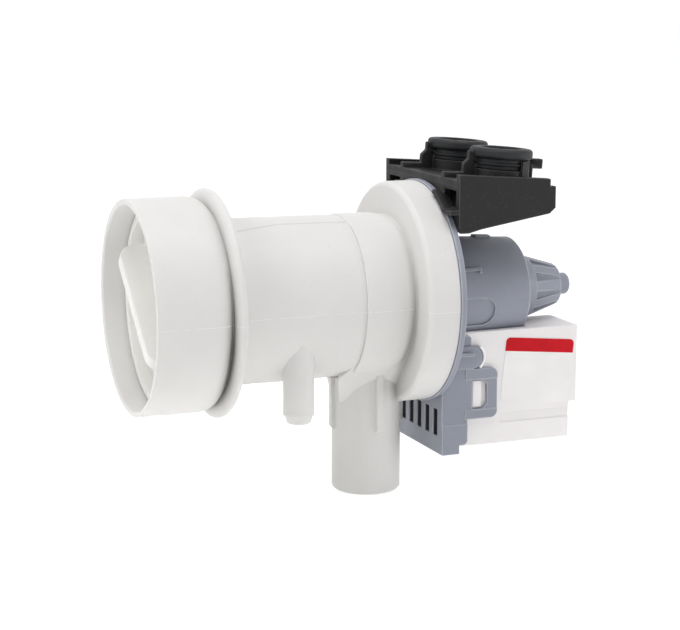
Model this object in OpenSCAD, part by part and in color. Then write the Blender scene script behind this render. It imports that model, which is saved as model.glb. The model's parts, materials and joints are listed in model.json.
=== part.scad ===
// Washer drain pump with front filter: housing, filter, synchronous motor and mounting bracket.
// Millimetres. X runs along the pump axis from the filter mouth towards the motor, Z is up.
// The origin is the centre of the filter mouth.

/* [Filter collar] */
// Outer diameter of the collar round the filter mouth
collar_od = 72.4; // [68:0.2:76]
// Wall of the collar
collar_wall = 2; // [1.6:0.1:2.4]
// Length of the collar up to the groove
collar_len = 25.4; // [24.8:0.1:29]
// Length of the collar's rounded end
collar_round_len = 5; // [4:0.1:5.4]
// Width of the groove between collar and bead
collar_groove_w = 0.5; // [0.4:0.1:2]
// Wall left under that groove
groove_wall = 2.4; // [2:0.1:3]
// Outer diameter of the flange bead
bead_od = 77.4; // [76:0.2:84]
// Width of the flange bead
bead_w = 3.6; // [3:0.1:6]

/* [Filter chamber] */
// Outer diameter of the filter chamber at the bead
body_od = 57.2; // [54:0.2:60]
// Wall of the filter chamber
body_wall = 2.3; // [1.8:0.1:3]
// Length of the filter chamber from bead to volute
body_len = 44.8; // [40:0.2:60]
// Loss of radius along the filter chamber
body_draft = 0.6; // [0:0.1:0.8]
// Depth of the moulded panels along the chamber
panel_depth = 0.3; // [0.2:0.05:0.5]
// Width of the moulded panels
panel_w = 18.4; // [12:0.2:24]
// Width of the panels where they flare at the bead
panel_flare_w = 27.6; // [24:0.2:34]
// Length of that flare
panel_flare_len = 20; // [10:1:30]
// Width of the guide rail inside the chamber
rail_w = 2.4; // [1.6:0.1:4]
// Height of the guide rail
rail_h = 2.2; // [1.6:0.1:2.4]

/* [Volute and pump disc] */
// Length of the volute
volute_len = 18.1; // [17:0.1:24]
// Height of the volute over the narrow end of the chamber
volute_step = 0.9; // [0.6:0.1:2]
// Loss of radius where the volute curves in to the disc
volute_crown = 1.9; // [1:0.1:3]
// Wall of the volute
volute_wall = 2.4; // [1.8:0.1:3]
// Radius of the lobe over the outlet
lobe_r = 9.4; // [8:0.1:11]
// Distance of the lobe's centre below the pump axis
lobe_drop = 29.1; // [27:0.1:31]
// Diameter of the eye between filter chamber and volute
eye_d = 24; // [16:0.5:30]
// Outer diameter of the pump disc
disc_od = 76.8; // [74:0.2:84]
// Thickness of the pump disc
disc_t = 11.3; // [11:0.1:14]
// Front wall of the pump disc
disc_wall = 2.6; // [2:0.1:3]
// Rim of the pump disc round the motor plug
disc_rim = 5.4; // [5:0.1:7]

/* [Hose connections] */
// Outer diameter of the outlet spigot
outlet_od = 24; // [20:0.5:26]
// Wall of the outlet spigot
outlet_wall = 2.3; // [2:0.1:3]
// Distance of the outlet's end below the pump axis
outlet_reach = 69.5; // [60:0.5:90]
// Distance of the outlet's axis behind the front of the volute
outlet_offset = 10.8; // [10.8:0.1:12]
// Length of the ribs on the outlet
outlet_rib_len = 18; // [10:0.5:20]
// Height of the ribs on the outlet
outlet_rib_h = 1.5; // [1:0.1:2.5]
// Thickness of the ribs on the outlet
outlet_rib_t = 2.4; // [1.2:0.1:3]
// Outer diameter of the drain nozzle
nozzle_od = 10.4; // [9.5:0.1:12]
// Bore of the drain nozzle
nozzle_id = 6.2; // [5.8:0.1:6.6]
// Distance of the nozzle behind the bead
nozzle_offset = 23.3; // [10:0.1:32]
// Distance of the nozzle in front of the pump axis
nozzle_side = 19.8; // [18:0.1:21]
// Distance of the nozzle's end below the pump axis
nozzle_reach = 39; // [36:0.5:50]
// Length of the taper at the nozzle's end
nozzle_taper = 4; // [2:0.1:5]
// Outer diameter of the nozzle's end
nozzle_tip_d = 7.8; // [7.4:0.1:8.5]
// Outer diameter of the tub inlet
inlet_od = 40; // [36:0.5:42]
// Wall of the tub inlet
inlet_wall = 2.5; // [2:0.1:3]
// Distance of the inlet behind the bead
inlet_offset = 22.5; // [22:0.1:23]
// Distance of the inlet's end behind the pump axis
inlet_reach = 52; // [46:0.5:60]

/* [Filter] */
// Depth of the cap's rim behind the mouth
cap_depth = 8; // [7:0.1:8.5]
// Thickness of the cap's plate
cap_plate_t = 3; // [2:0.1:3.4]
// Depth of the recess inside the cap's rim
cap_recess = 5; // [3:0.1:5.2]
// Width of the cap's rim
cap_rim_w = 2.5; // [2:0.1:4]
// Length of the grip across the cap
grip_len = 52; // [40:0.5:56]
// Thickness of the grip
grip_t = 4.4; // [3:0.1:6]
// Depth of the grip's edge behind the mouth
grip_depth = 1.5; // [0.5:0.1:3]
// Radius of the grip's corners
grip_corner_r = 6; // [2:0.1:8]
// Angle of the grip to the horizontal
grip_angle = 41; // [0:1:90]
// Thickness of the bayonet lugs
bayonet_t = 2; // [1.5:0.1:2.2]
// Angle that each bayonet lug spans
bayonet_span = 50; // [20:1:60]
// Cord of the filter seal
filter_seal_w = 3; // [2:0.1:3.2]
// Diameter of the pivot between cap and basket
pivot_d = 12; // [8:0.5:16]
// Thickness of the basket's front plate
basket_plate_t = 2.5; // [2:0.1:4]
// Wall of the basket
basket_wall = 1.8; // [1.2:0.1:2.5]
// Number of slots round the basket
basket_slots = 16; // [8:1:20]
// Width of the slots in the basket
basket_slot_w = 4; // [2:0.1:5]
// Gap between the basket's end and the volute wall
basket_end_gap = 3; // [1:0.1:8]
// Radial gap between cap and collar
cap_gap = 0.5; // [0.3:0.1:1]
// Radial gap between basket and chamber
basket_gap = 0.6; // [0.4:0.1:1]
// Side gap of the guide rail in the basket's notch
rail_gap = 0.4; // [0.3:0.1:0.8]

/* [Motor flange and rotor can] */
// Outer diameter of the motor flange
flange_od = 77.8; // [76:0.2:86]
// Thickness of the motor flange
flange_t = 2; // [1.8:0.1:3]
// Depth of the motor plug in the pump disc
plug_len = 6.7; // [6.5:0.1:8]
// Distance of the rotor axis below the housing axis
rotor_drop = 1.2; // [0:0.1:2]
// Outer diameter of the rotor can at its end
can_od = 36; // [35:0.1:38]
// Gain of radius from the can's end to the flange
can_draft = 2; // [0:0.1:2.4]
// Wall of the rotor can
can_wall = 1.6; // [1.2:0.1:1.8]
// Length of the rotor can behind the flange
can_len = 34.3; // [34:0.1:40]
// Length of the fluted cone
cone_len = 18; // [17:0.1:22]
// Length of the cone's smooth part
cone_neck_len = 6; // [3:0.1:8]
// Diameter of the cone at the can
cone_od = 25.4; // [23:0.1:27]
// Diameter of the cone at the tip
cone_end_od = 14.8; // [14:0.1:18]
// Depth of the flutes between the ribs
flute_depth = 1.5; // [0.5:0.1:2]
// Number of ribs on the cone
cone_ribs = 10; // [6:1:14]
// Thickness of the ribs on the cone
cone_rib_t = 3.4; // [2.4:0.1:3.8]
// Diameter of the tip
tip_d = 7.7; // [5:0.1:9]
// Length of the tip
tip_len = 5; // [2:0.1:8]

/* [Rotor and impeller] */
// Bore of the wet tube round the rotor
rotor_bore = 20.4; // [20:0.1:20.8]
// Wall of the wet tube
rotor_tube_wall = 1; // [0.8:0.1:1.2]
// Bore of the wet tube's narrow end
bearing_bore = 8.4; // [8:0.1:8.6]
// Diameter of the shaft
shaft_d = 4; // [3:0.1:4.5]
// Diameter of the magnet
magnet_d = 18.8; // [17:0.1:19]
// Length of the front bush
front_bush_len = 6; // [4:0.1:7]
// Outer diameter of the front bush
front_bush_od = 9; // [7:0.1:12]
// Length of the rear bush
rear_bush_len = 6; // [4:0.1:7]
// Outer diameter of the rear bush
rear_bush_od = 6.4; // [6:0.1:6.8]
// Thickness of the thrust washers
washer_t = 0.8; // [0.5:0.1:1]
// Diameter of the impeller
impeller_d = 38; // [30:0.5:42]
// Length of the impeller
impeller_len = 12; // [10:0.1:12.5]
// Number of impeller blades
impeller_blades = 6; // [4:1:8]
// Thickness of the impeller blades
blade_t = 1.8; // [1.2:0.1:3]
// Outer diameter of the dogs
dog_od = 16; // [12:0.5:20]
// Length of the dogs
dog_len = 3; // [2:0.1:3.2]
// Angle that each dog spans
dog_span = 40; // [20:1:44]

/* [Stator] */
// Thickness of the lamination stack
stack_t = 22; // [18:0.5:23]
// Width of the stator's legs
leg_w = 5; // [4:0.1:5.5]
// Distance of each leg's centre from the pump axis
leg_offset = 8.5; // [8.2:0.1:8.8]
// Height of the yoke under the coils
yoke_h = 5.8; // [5:0.1:6.2]
// Depth of the winding on the bobbin
winding_t = 3.4; // [2:0.1:3.5]
// Wall of the bobbins
bobbin_wall = 0.8; // [0.6:0.1:0.9]

/* [Stator cover and frame] */
// Half the width of the cover
cover_half_w = 17.7; // [17.6:0.1:19]
// Length of the cover
cover_len = 44.7; // [43:0.1:50]
// Length taken off the cover's lower part
cover_step_len = 3; // [1:0.1:6]
// Wall of the cover
cover_wall = 1.6; // [1.2:0.1:1.8]
// Distance of the cover's top below the housing axis
cover_top = 13; // [12.5:0.1:14]
// Distance of the cover's step below the housing axis
cover_step = 40.7; // [40:0.1:42]
// Distance of the cover's floor below the housing axis
cover_floor = 53.4; // [53:0.1:60]
// Width of the connector socket
socket_w = 18; // [16:0.5:22]
// Height of the connector socket
socket_h = 10; // [8:0.5:12]
// Depth of the connector socket
socket_depth = 11; // [9:0.5:12]
// Width of the spade terminals
spade_w = 6.3; // [4.8:0.1:6.3]
// Thickness of the spade terminals
spade_t = 0.8; // [0.5:0.1:1]
// Thickness of the frame's front plate
frame_plate_t = 2.2; // [1.6:0.1:2.3]
// Thickness of the frame's sides and clips
frame_side_t = 1.3; // [1:0.1:2]
// Depth of the frame's sides behind the flange
frame_depth = 9.7; // [9.5:0.1:12]
// Distance of the frame's floor below the housing axis
frame_floor = 55.6; // [55.4:0.1:64]
// Number of vent slots
vent_slots = 5; // [3:1:5]
// Width of the vent slots
vent_slot_w = 3.5; // [2:0.1:4]
// Spacing of the vent slots
vent_pitch = 6.9; // [5.8:0.1:7.2]
// Width of the label
label_w = 26.6; // [20:0.1:27.4]
// Height of the label
label_h = 22.6; // [18:0.1:23]
// Thickness of the label
label_t = 0.2; // [0.1:0.05:0.4]
// Slant of the label
label_tilt = 5.5; // [0:0.5:6]

/* [Mounting bracket] */
// Half the width of the bracket
bracket_half_w = 31.6; // [31:0.1:36]
// Wall of the bracket
bracket_wall = 2.5; // [2:0.1:3]
// Length of the bracket
bracket_len = 33.9; // [33:0.1:40]
// Height of the bracket's walls over the pump axis, at the flange
bracket_top = 43.3; // [43:0.1:48]
// Pitch of the bracket's deck
bracket_pitch = 4.3; // [0:0.1:6]
// Distance of the towers behind the flange
tower_offset = 21.5; // [20.5:0.1:22.5]
// Spacing of the towers
tower_spacing = 35.2; // [33:0.1:37]
// Outer diameter of the towers
tower_od = 19.4; // [18.6:0.1:20]
// Wall of the towers
tower_wall = 2.2; // [1.8:0.1:2.6]
// Height of the towers over the deck
tower_h = 3.6; // [3:0.1:4.6]
// Diameter of the grommets' rims
grommet_od = 21.6; // [21:0.1:23]
// Height of the grommets' necks over the towers
grommet_neck_h = 3.6; // [2.6:0.1:5]
// Height of the grommets' rims
grommet_rim_h = 3.6; // [3:0.1:5]
// Bore of the grommets
grommet_bore = 8; // [5:0.1:9]

/* [Clearances] */
// Gap between fixed pieces that slide together
fit_gap = 0.2; // [0.1:0.05:0.3]
// Radial gap of a running shaft
run_gap = 0.05; // [0.02:0.01:0.08]
// Axial gap beside turning pieces
end_gap = 0.3; // [0.2:0.05:0.4]
// Gap round a seal
seal_gap = 0.1; // [0.05:0.05:0.2]

/* [Hidden] */
$fn = 96;
// Overlap of fused shapes and of cuts
over = 1;
// Step that keeps two nearly equal faces apart
face_step = 0.05;

// Colours
white_plastic = [0.91, 0.91, 0.89];
cover_plastic = [0.95, 0.94, 0.93];
grey_plastic = [0.49, 0.52, 0.58];
black_plastic = [0.13, 0.13, 0.13];
rubber_black = [0.08, 0.08, 0.08];

// Stations along the pump axis
bead_x0 = collar_len + collar_groove_w;
bead_x1 = bead_x0 + bead_w;
volute_x0 = bead_x1 + body_len;
disc_x0 = volute_x0 + volute_len;
disc_x1 = disc_x0 + disc_t;
flange_x1 = disc_x1 + flange_t;
can_x1 = flange_x1 + can_len;
cone_x1 = can_x1 + cone_len;
tip_x1 = cone_x1 + tip_len;

// Housing radii
collar_r = collar_od / 2;
collar_in_r = collar_r - collar_wall;
mouth_r = 0.8;
groove_r = collar_r - 2.6;
bead_r = bead_od / 2;
bead_front = bead_w * 0.6;
bead_rear = bead_w - bead_front;
body_r0 = body_od / 2;
body_r1 = body_r0 - body_draft;
chamber_r = body_r1 - body_wall;
volute_r = body_r1 + volute_step;
volute_end_r = volute_r - volute_crown;
volute_in_r = volute_end_r - volute_wall;
disc_r = disc_od / 2;
disc_edge_r = 2;
plug_bore_r = disc_r - disc_rim;

// Filter bayonet and seal bore
seat_back = 3.9;
seat_x = collar_len - seat_back;
seal_bore_r = min(groove_r - groove_wall, collar_in_r - 3);
shoulder_t = 1.5;
seal_bore_x1 = bead_x1 - shoulder_t;
bayonet_depth = collar_in_r - seal_bore_r - 2 * cap_gap;
house_lug_turns = [90, 270];
cap_lug_turns = [0, 180];
cap_r = collar_in_r - cap_gap;
cap_x0 = cap_depth;
cap_x1 = cap_depth + cap_recess + cap_plate_t;
house_lug_x0 = cap_x1 + end_gap;
house_lug_x1 = house_lug_x0 + bayonet_t;
cap_lug_x0 = house_lug_x1 + end_gap;
neck_r = seal_bore_r - cap_gap;
neck_wall = 3.8;
neck_x1 = seal_bore_x1 - 1;
seal_x0 = seat_x + 1.2;
seal_floor_r = neck_r - 2;
basket_x0 = seal_bore_x1 + 0.5;
basket_plate_x1 = basket_x0 + basket_plate_t;
eye_wall = 2.4;
basket_x1 = volute_x0 - basket_end_gap;
basket_r = chamber_r - basket_gap;
basket_in_r = basket_r - basket_wall;
pivot_head_t = 1.5;

// Hose connections
outlet_x = volute_x0 + outlet_offset;
outlet_r = outlet_od / 2;
outlet_bore_r = outlet_r - outlet_wall;
outlet_rib_bottom = -lobe_drop - outlet_rib_len;
hose_stop_h = 0.3;
nozzle_x = bead_x1 + nozzle_offset;
nozzle_r = nozzle_od / 2;
nozzle_seat_z = 3 - body_r0;
inlet_x = bead_x1 + inlet_offset;
inlet_r = inlet_od / 2;
inlet_bore_r = inlet_r - inlet_wall;
inlet_root = 1.2;

// Motor plug
plug_x0 = disc_x1 - plug_len;
plug_r = plug_bore_r - fit_gap * 2;
plug_lug_h = 2;
plug_lug_t = 1.6;
plug_lug_x0 = plug_x0 + 0.6;
plug_lug_x1 = plug_lug_x0 + plug_lug_t;
plug_lug_span = 24;
plug_lug_turn = 90;
plug_lugs = 3;
flange_seal_w = 2.4;
flange_seal_x0 = disc_x1 - flange_seal_w - 0.8;
flange_seal_floor_r = plug_r - 2;

// Rotor can, wet tube and stator stations
can_r = can_od / 2;
can_root_r = can_r + can_draft;
can_in_r = can_r - can_wall;
can_end_wall = 2;
tube_r = rotor_bore / 2 + rotor_tube_wall;
tube_flange_r = tube_r + 2.8;
tube_flange_t = 1.8;
tube_x1 = can_x1 - can_end_wall - end_gap;
tube_narrow_r = bearing_bore / 2 + rotor_tube_wall;
tube_tail = 7.5;
tube_end_x = tube_x1 + front_bush_len + tube_tail;
stack_offset = 7.3;
stack_x0 = flange_x1 + stack_offset;
stack_x1 = stack_x0 + stack_t;

// Rotor stations, front to rear
shaft_r = shaft_d / 2;
bush_inset = 0.4;
front_bush_x0 = plug_x0 + tube_flange_t + 0.4;
front_bush_x1 = front_bush_x0 + front_bush_len;
front_washer_x0 = front_bush_x1 + end_gap;
sleeve_x0 = front_washer_x0 + washer_t + end_gap;
rear_bush_x0 = tube_x1 + 1.2;
rear_washer_x0 = rear_bush_x0 - end_gap - washer_t;
sleeve_x1 = rear_washer_x0 - end_gap;
shaft_x1 = rear_bush_x0 + rear_bush_len + 1;
sleeve_r = shaft_r + 1;
sleeve_hub_r = shaft_r + 1.7;
sleeve_disc_t = 1.4;

// Impeller stations, front to rear
dog_x1 = plug_x0 - end_gap;
dog_x0 = dog_x1 - dog_len;
impeller_x1 = dog_x0 - end_gap;
impeller_x0 = impeller_x1 - impeller_len;
clip_t = 0.8;
clip_r = shaft_r + 1.6;
clip_x0 = impeller_x0 - end_gap - clip_t;
shaft_x0 = clip_x0 - 0.6;
impeller_hub_r = shaft_r + 2.5;
impeller_plate_t = 2;
dog_r = dog_od / 2;
dog_hub_r = shaft_r + 1.5;

// Stator stations
bobbin_gap = fit_gap;
bobbin_flange_t = 1;
bobbin_edge = 0.3;
coil_top = can_root_r + rotor_drop + fit_gap * 2 + cover_wall + 0.5;
yoke_z0 = -cover_floor + cover_wall + 0.4;
yoke_z1 = yoke_z0 + yoke_h;
bobbin_z0 = yoke_z1 + fit_gap;
bobbin_z1 = -coil_top - 0.2;
pole_r0 = tube_r + 0.3;
pole_r1 = can_in_r - fit_gap;
pole_span = 110;
coil_x1 = stack_x1 + bobbin_gap + bobbin_wall + winding_t;
coil_clear = 1.6;

// Cover and frame stations
cover_offset = 8.3;
cover_x0 = flange_x1 + cover_offset;
cover_x1 = cover_x0 + cover_len;
cover_x1_low = cover_x1 - cover_step_len;
cover_ridge_y = 3;
cover_back_top = cover_top + 5;
frame_y = cover_half_w + fit_gap + frame_side_t;
frame_x1 = flange_x1 + frame_depth;
frame_plate_x1 = flange_x1 + frame_plate_t;
frame_top = can_root_r + rotor_drop + 0.6;
clip_top = 25.6;
clip_bottom = 43.4;
clip_reach = 11.3;
clip_x1 = frame_x1 + clip_reach;
window_inset = 1.8;
window_w = 5.7;
window_x0 = frame_x1 + window_inset;
clip_window = [window_x0, window_x0 + window_w, 29.7, 40];
clip_window_cut = 1.8;
clip_corner_r = 2.5;
clip_seam = 0.1;
frame_raise = 0.35;
frame_ledge = 45.1;
lug_len = 14.8;
lug_h = 7.7;
lug_z0 = -clip_top + clip_seam;
frame_floor_len = 6.7;
frame_floor_x1 = flange_x1 + frame_floor_len;
frame_floor_t = 1.6;
frame_foot_h = 3.2;
nub_h = 0.8;
socket_x0 = cover_x1 - socket_depth;
socket_mid = 29;
spade_x0 = coil_x1 + coil_clear;
spade_inset = 2;
label_inset = 2.4;
label_x = cover_x1 - label_w / 2 - label_inset;
label_z = -28.3;

// Bracket stations
bracket_x0 = flange_x1;
bracket_x1 = bracket_x0 + bracket_len;
deck_x0 = 0.2;
deck_drop = 2;
deck_t = 2.2;
deck_under = deck_drop + deck_t;
tower_r = tower_od / 2;
tower_bore_r = tower_r - tower_wall;
web_floor = 30.5;
web_window = [19, 28.6, 31.9, 37.6];
gusset_y = 24.5;
gusset_floor = 24;
lip_r = flange_od / 2 + fit_gap;
lip_t = 1.5;
lip_turn = 58.2;
lip_span = 16.5;
shelf_z = 29.9;
hook_lap = 1.2;
hook_reach = flange_t + hook_lap;
peg_r = 1.5;
peg_y = 15;
peg_z = 31.5;
grommet_r = grommet_od / 2;
grommet_seat_z = tower_h + face_step;
grommet_rim_z0 = grommet_seat_z + grommet_neck_h;
grommet_rim_z1 = grommet_rim_z0 + grommet_rim_h;
grommet_ring_r = tower_r - 0.2;
grommet_neck_r = tower_bore_r - seal_gap;
grommet_foot_t = 2;
grommet_foot_r = tower_r - 0.3;

// Points of an arc about c, from angle a0 to angle a1
function arc(c, r, a0, a1, n = 8) =
    [for (i = [0:n]) c + r * [cos(a0 + (a1 - a0) * i / n), sin(a0 + (a1 - a0) * i / n)]];

// Points of an oval arc about c with two half widths
function oval_arc(c, half, a0, a1, n = 10) =
    [for (i = [0:n]) c + [half[0] * cos(a0 + (a1 - a0) * i / n), half[1] * sin(a0 + (a1 - a0) * i / n)]];

// Rectangle outline from low corner to high corner, with the two high-x corners rounded
function tab_outline(x0, x1, y0, y1, r) =
    concat([[x0, y0]], arc([x1 - r, y0 + r], r, -90, 0), arc([x1 - r, y1 - r], r, 0, 90), [[x0, y1]]);

// Lays a shape drawn about Z along X, with its first axis along Y and its second along Z
module along_x(x) {
    translate([x, 0, 0])
        rotate([90, 0, 90])
            children();
}

// Moves a shape from the housing axis to the rotor axis
module on_rotor_axis() {
    translate([0, 0, -rotor_drop])
        children();
}

module rod_x(x0, x1, r) {
    along_x(x0)
        cylinder(h = x1 - x0, r = r);
}

module tube_x(x0, x1, r, bore) {
    along_x(x0)
        difference() {
            cylinder(h = x1 - x0, r = r);
            translate([0, 0, -over])
                cylinder(h = x1 - x0 + 2 * over, r = bore);
        }
}

// Turns a half profile of [radius, x] points about the pump axis
module turned_x(points) {
    along_x(0)
        rotate_extrude()
            polygon(points);
}

// Part of a ring about the pump axis, centred on an angle measured from +Y towards +Z
module ring_sector(x0, x1, r, bore, mid, span) {
    along_x(x0)
        rotate([0, 0, mid - span / 2])
            rotate_extrude(angle = span)
                translate([bore, 0])
                    square([r - bore, x1 - x0]);
}

// Plate drawn in X and Z, filling y0 to y1
module plate_y(y0, y1, points) {
    translate([0, y1, 0])
        rotate([90, 0, 0])
            linear_extrude(y1 - y0)
                polygon(points);
}

module block(x0, x1, y0, y1, z0, z1) {
    translate([x0, y0, z0])
        cube([x1 - x0, y1 - y0, z1 - z0]);
}

module both_sides() {
    children();
    mirror([0, 1, 0])
        children();
}

// Outline of the volute: a round chamber drawn out to a smaller lobe below it
module volute_outline(r, small_r) {
    lean = asin((r - small_r) / lobe_drop);
    inside = 0.99;
    side = inside * [cos(lean), -sin(lean)];
    mirrored = inside * [-cos(lean), -sin(lean)];
    lobe = [0, -lobe_drop];
    circle(r);
    translate(lobe)
        circle(small_r);
    polygon([r * side, [0, 0], r * mirrored, lobe + small_r * mirrored, lobe + small_r * side]);
}

// Pump housing: one moulding in three nodes that meet on flat faces

module collar_shell() {
    turned_x(concat(
        [[0, 0], [collar_r, 0]],
        oval_arc([groove_r, collar_len - collar_round_len], [collar_r - groove_r, collar_round_len], 0, 90),
        oval_arc([groove_r, bead_x0 + bead_front], [bead_r - groove_r, bead_front], -90, 0),
        arc([bead_r - bead_rear, bead_x1 - bead_rear], bead_rear, 0, 90),
        [[0, bead_x1]]
    ));
}

// Filter seat and seal bore
module collar_hollow() {
    turned_x(concat(
        [[0, -over], [collar_in_r + mouth_r, -over]],
        arc([collar_in_r + mouth_r, mouth_r], mouth_r, 270, 180, 4),
        [
            [collar_in_r, seat_x],
            [seal_bore_r, seat_x],
            [seal_bore_r, seal_bore_x1],
            [chamber_r, seal_bore_x1],
            [chamber_r, bead_x1 + over],
            [0, bead_x1 + over]
        ]
    ));
}

module housing_collar() {
    color(white_plastic) {
        difference() {
            collar_shell();
            collar_hollow();
        }
        for (mid = house_lug_turns)
            ring_sector(house_lug_x0, house_lug_x1, collar_in_r + collar_wall / 2,
                        collar_in_r - bayonet_depth, mid, bayonet_span);
    }
}

module chamber_shell() {
    turned_x([[0, bead_x1], [body_r0, bead_x1], [body_r1, volute_x0], [0, volute_x0]]);
}

// Shallow panels along the top and the bottom of the chamber
module chamber_panels() {
    flare_x = bead_x1 + panel_flare_len;
    slope = body_draft / body_len * over;
    intersection() {
        turned_x([
            [body_r0 - panel_depth + slope, bead_x1 - over],
            [body_r0 + over, bead_x1 - over],
            [body_r0 + over, volute_x0 + over],
            [body_r1 - panel_depth - slope, volute_x0 + over]
        ]);
        translate([0, 0, -collar_r])
            linear_extrude(2 * collar_r)
                polygon([
                    [bead_x1 - 2 * over, panel_flare_w / 2],
                    [flare_x, panel_w / 2],
                    [volute_x0 + 2 * over, panel_w / 2],
                    [volute_x0 + 2 * over, -panel_w / 2],
                    [flare_x, -panel_w / 2],
                    [bead_x1 - 2 * over, -panel_flare_w / 2]
                ]);
    }
}

// Spigot about Z with its rounded free end at the bottom and a low shoulder that stops the hose
module spigot(len, r, edge_r, seat) {
    rotate_extrude()
        polygon(concat(
            [[0, 0]],
            arc([r - edge_r, edge_r], edge_r, -90, 0, 6),
            [[r, seat], [r + hose_stop_h, seat], [r + hose_stop_h, len], [0, len]]
        ));
}

module drain_nozzle() {
    seat = nozzle_reach + nozzle_seat_z;
    translate([nozzle_x, -nozzle_side, -nozzle_reach])
        rotate_extrude()
            polygon([
                [0, 0],
                [nozzle_tip_d / 2, 0],
                [nozzle_r, nozzle_taper],
                [nozzle_r, seat],
                [nozzle_r + hose_stop_h, seat],
                [nozzle_r + hose_stop_h, nozzle_reach],
                [0, nozzle_reach]
            ]);
}

module tub_inlet() {
    translate([inlet_x, inlet_reach, 0])
        rotate([90, 0, 0])
            spigot(inlet_reach, inlet_r, inlet_wall * 0.8, inlet_reach - body_r0 - inlet_root);
}

module housing_chamber() {
    color(white_plastic) {
        difference() {
            union() {
                chamber_shell();
                drain_nozzle();
                tub_inlet();
            }
            chamber_panels();
            rod_x(bead_x1 - over, volute_x0 + over, chamber_r);
            translate([nozzle_x, -nozzle_side, -nozzle_reach - over])
                cylinder(h = nozzle_reach + over, r = nozzle_id / 2);
            translate([inlet_x, 0, 0])
                rotate([-90, 0, 0])
                    cylinder(h = inlet_reach + over, r = inlet_bore_r);
        }
        block(bead_x1, basket_x1, -rail_w / 2, rail_w / 2, -chamber_r - body_wall / 2, rail_h - chamber_r);
    }
}

module volute_shell() {
    steps = 8;
    crown_len = volute_len * 0.5;
    turned_x(concat(
        [[0, volute_x0], [volute_r, volute_x0]],
        [for (i = [0:steps])
            [volute_r - volute_crown * pow(i / steps, 3), disc_x0 - crown_len * (1 - i / steps)]],
        [[volute_end_r, disc_x0 + over], [0, disc_x0 + over]]
    ));
    along_x(volute_x0)
        linear_extrude(volute_len + over)
            volute_outline(volute_end_r - face_step, lobe_r);
}

module pump_disc() {
    turned_x(concat(
        [[0, disc_x0]],
        arc([disc_r - disc_edge_r, disc_x0 + disc_edge_r], disc_edge_r, -90, 0, 5),
        [[disc_r, disc_x1], [0, disc_x1]]
    ));
}

module outlet_rib() {
    tip_r = outlet_rib_h;
    outer = outlet_r + outlet_rib_h;
    inner = outlet_r - outlet_wall / 2;
    translate([0, outlet_rib_t / 2, 0])
        rotate([90, 0, 0])
            linear_extrude(outlet_rib_t)
                polygon(concat(
                    [[inner, -volute_in_r], [inner, outlet_rib_bottom]],
                    arc([outer - tip_r, outlet_rib_bottom + tip_r], tip_r, -90, 0, 6),
                    [[outer, -volute_in_r]]
                ));
}

// Outlet spigot with four ribs, kept off the chamber in front of it
module outlet() {
    difference() {
        translate([outlet_x, 0, 0]) {
            translate([0, 0, -outlet_reach])
                spigot(outlet_reach - volute_in_r, outlet_r, outlet_wall * 0.8,
                       outlet_reach + outlet_rib_bottom);
            for (turn = [0:90:270])
                rotate([0, 0, turn])
                    outlet_rib();
        }
        rod_x(bead_x1, volute_x0, volute_r + face_step);
    }
}

// Groove and entry slots for the lugs of the motor plug
module plug_lug_track() {
    track_r = plug_r + plug_lug_h + end_gap;
    entry_gap = 4;
    entry_turn = plug_lug_turn + 60;
    entry_span = plug_lug_span + 2 * entry_gap;
    tube_x(plug_lug_x0 - end_gap, plug_lug_x1 + end_gap, track_r, plug_bore_r - over);
    for (i = [0:plug_lugs - 1])
        ring_sector(plug_lug_x0, disc_x1 + over, track_r + face_step, plug_bore_r - over,
                    i * 360 / plug_lugs + entry_turn, entry_span);
}

module housing_volute() {
    color(white_plastic)
        difference() {
            union() {
                volute_shell();
                pump_disc();
                outlet();
            }
            rod_x(volute_x0 - over, volute_x0 + 2 * eye_wall, eye_d / 2);
            along_x(volute_x0 + eye_wall)
                linear_extrude(volute_len - eye_wall + disc_wall + over)
                    volute_outline(volute_in_r, lobe_r - volute_wall);
            rod_x(disc_x0 + disc_wall, disc_x1 + over, plug_bore_r);
            translate([outlet_x, 0, -outlet_reach - over])
                cylinder(h = outlet_reach + over - volute_in_r * 0.8, r = outlet_bore_r);
            plug_lug_track();
        }
}

// Filter

module knob_grip() {
    half = grip_len / 2;
    r = grip_corner_r;
    rotate([grip_angle, 0, 0])
        translate([0, 0, -grip_t / 2])
            linear_extrude(grip_t)
                polygon(concat(
                    [[cap_x1 - cap_plate_t / 2, half], [grip_depth + r, half]],
                    arc([grip_depth + r, half - r], r, 90, 180),
                    arc([grip_depth + r, r - half], r, 180, 270),
                    [[cap_x1 - cap_plate_t / 2, -half]]
                ));
}

module filter_knob() {
    rim_r = cap_r - cap_rim_w;
    neck_in_r = neck_r - neck_wall;
    pivot_r = pivot_d / 2;
    color(white_plastic) {
        turned_x([
            [0, cap_x0 + cap_recess],
            [rim_r, cap_x0 + cap_recess],
            [rim_r, cap_x0],
            [cap_r, cap_x0],
            [cap_r, cap_x1],
            [neck_r, cap_x1],
            [neck_r, seal_x0],
            [seal_floor_r, seal_x0],
            [seal_floor_r, seal_x0 + filter_seal_w],
            [neck_r, seal_x0 + filter_seal_w],
            [neck_r, neck_x1],
            [neck_in_r, neck_x1],
            [neck_in_r, cap_x1],
            [pivot_r, cap_x1],
            [pivot_r, basket_plate_x1 + end_gap],
            [pivot_r + 1, basket_plate_x1 + end_gap],
            [pivot_r + 1, basket_plate_x1 + end_gap + pivot_head_t],
            [0, basket_plate_x1 + end_gap + pivot_head_t]
        ]);
        for (mid = cap_lug_turns)
            ring_sector(cap_lug_x0, cap_lug_x0 + bayonet_t, cap_r, neck_r - over, mid, bayonet_span);
        knob_grip();
    }
}

module filter_seal() {
    color(rubber_black)
        tube_x(seal_x0 + seal_gap, seal_x0 + filter_seal_w - seal_gap, seal_bore_r - seal_gap,
               seal_floor_r + seal_gap);
}

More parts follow.
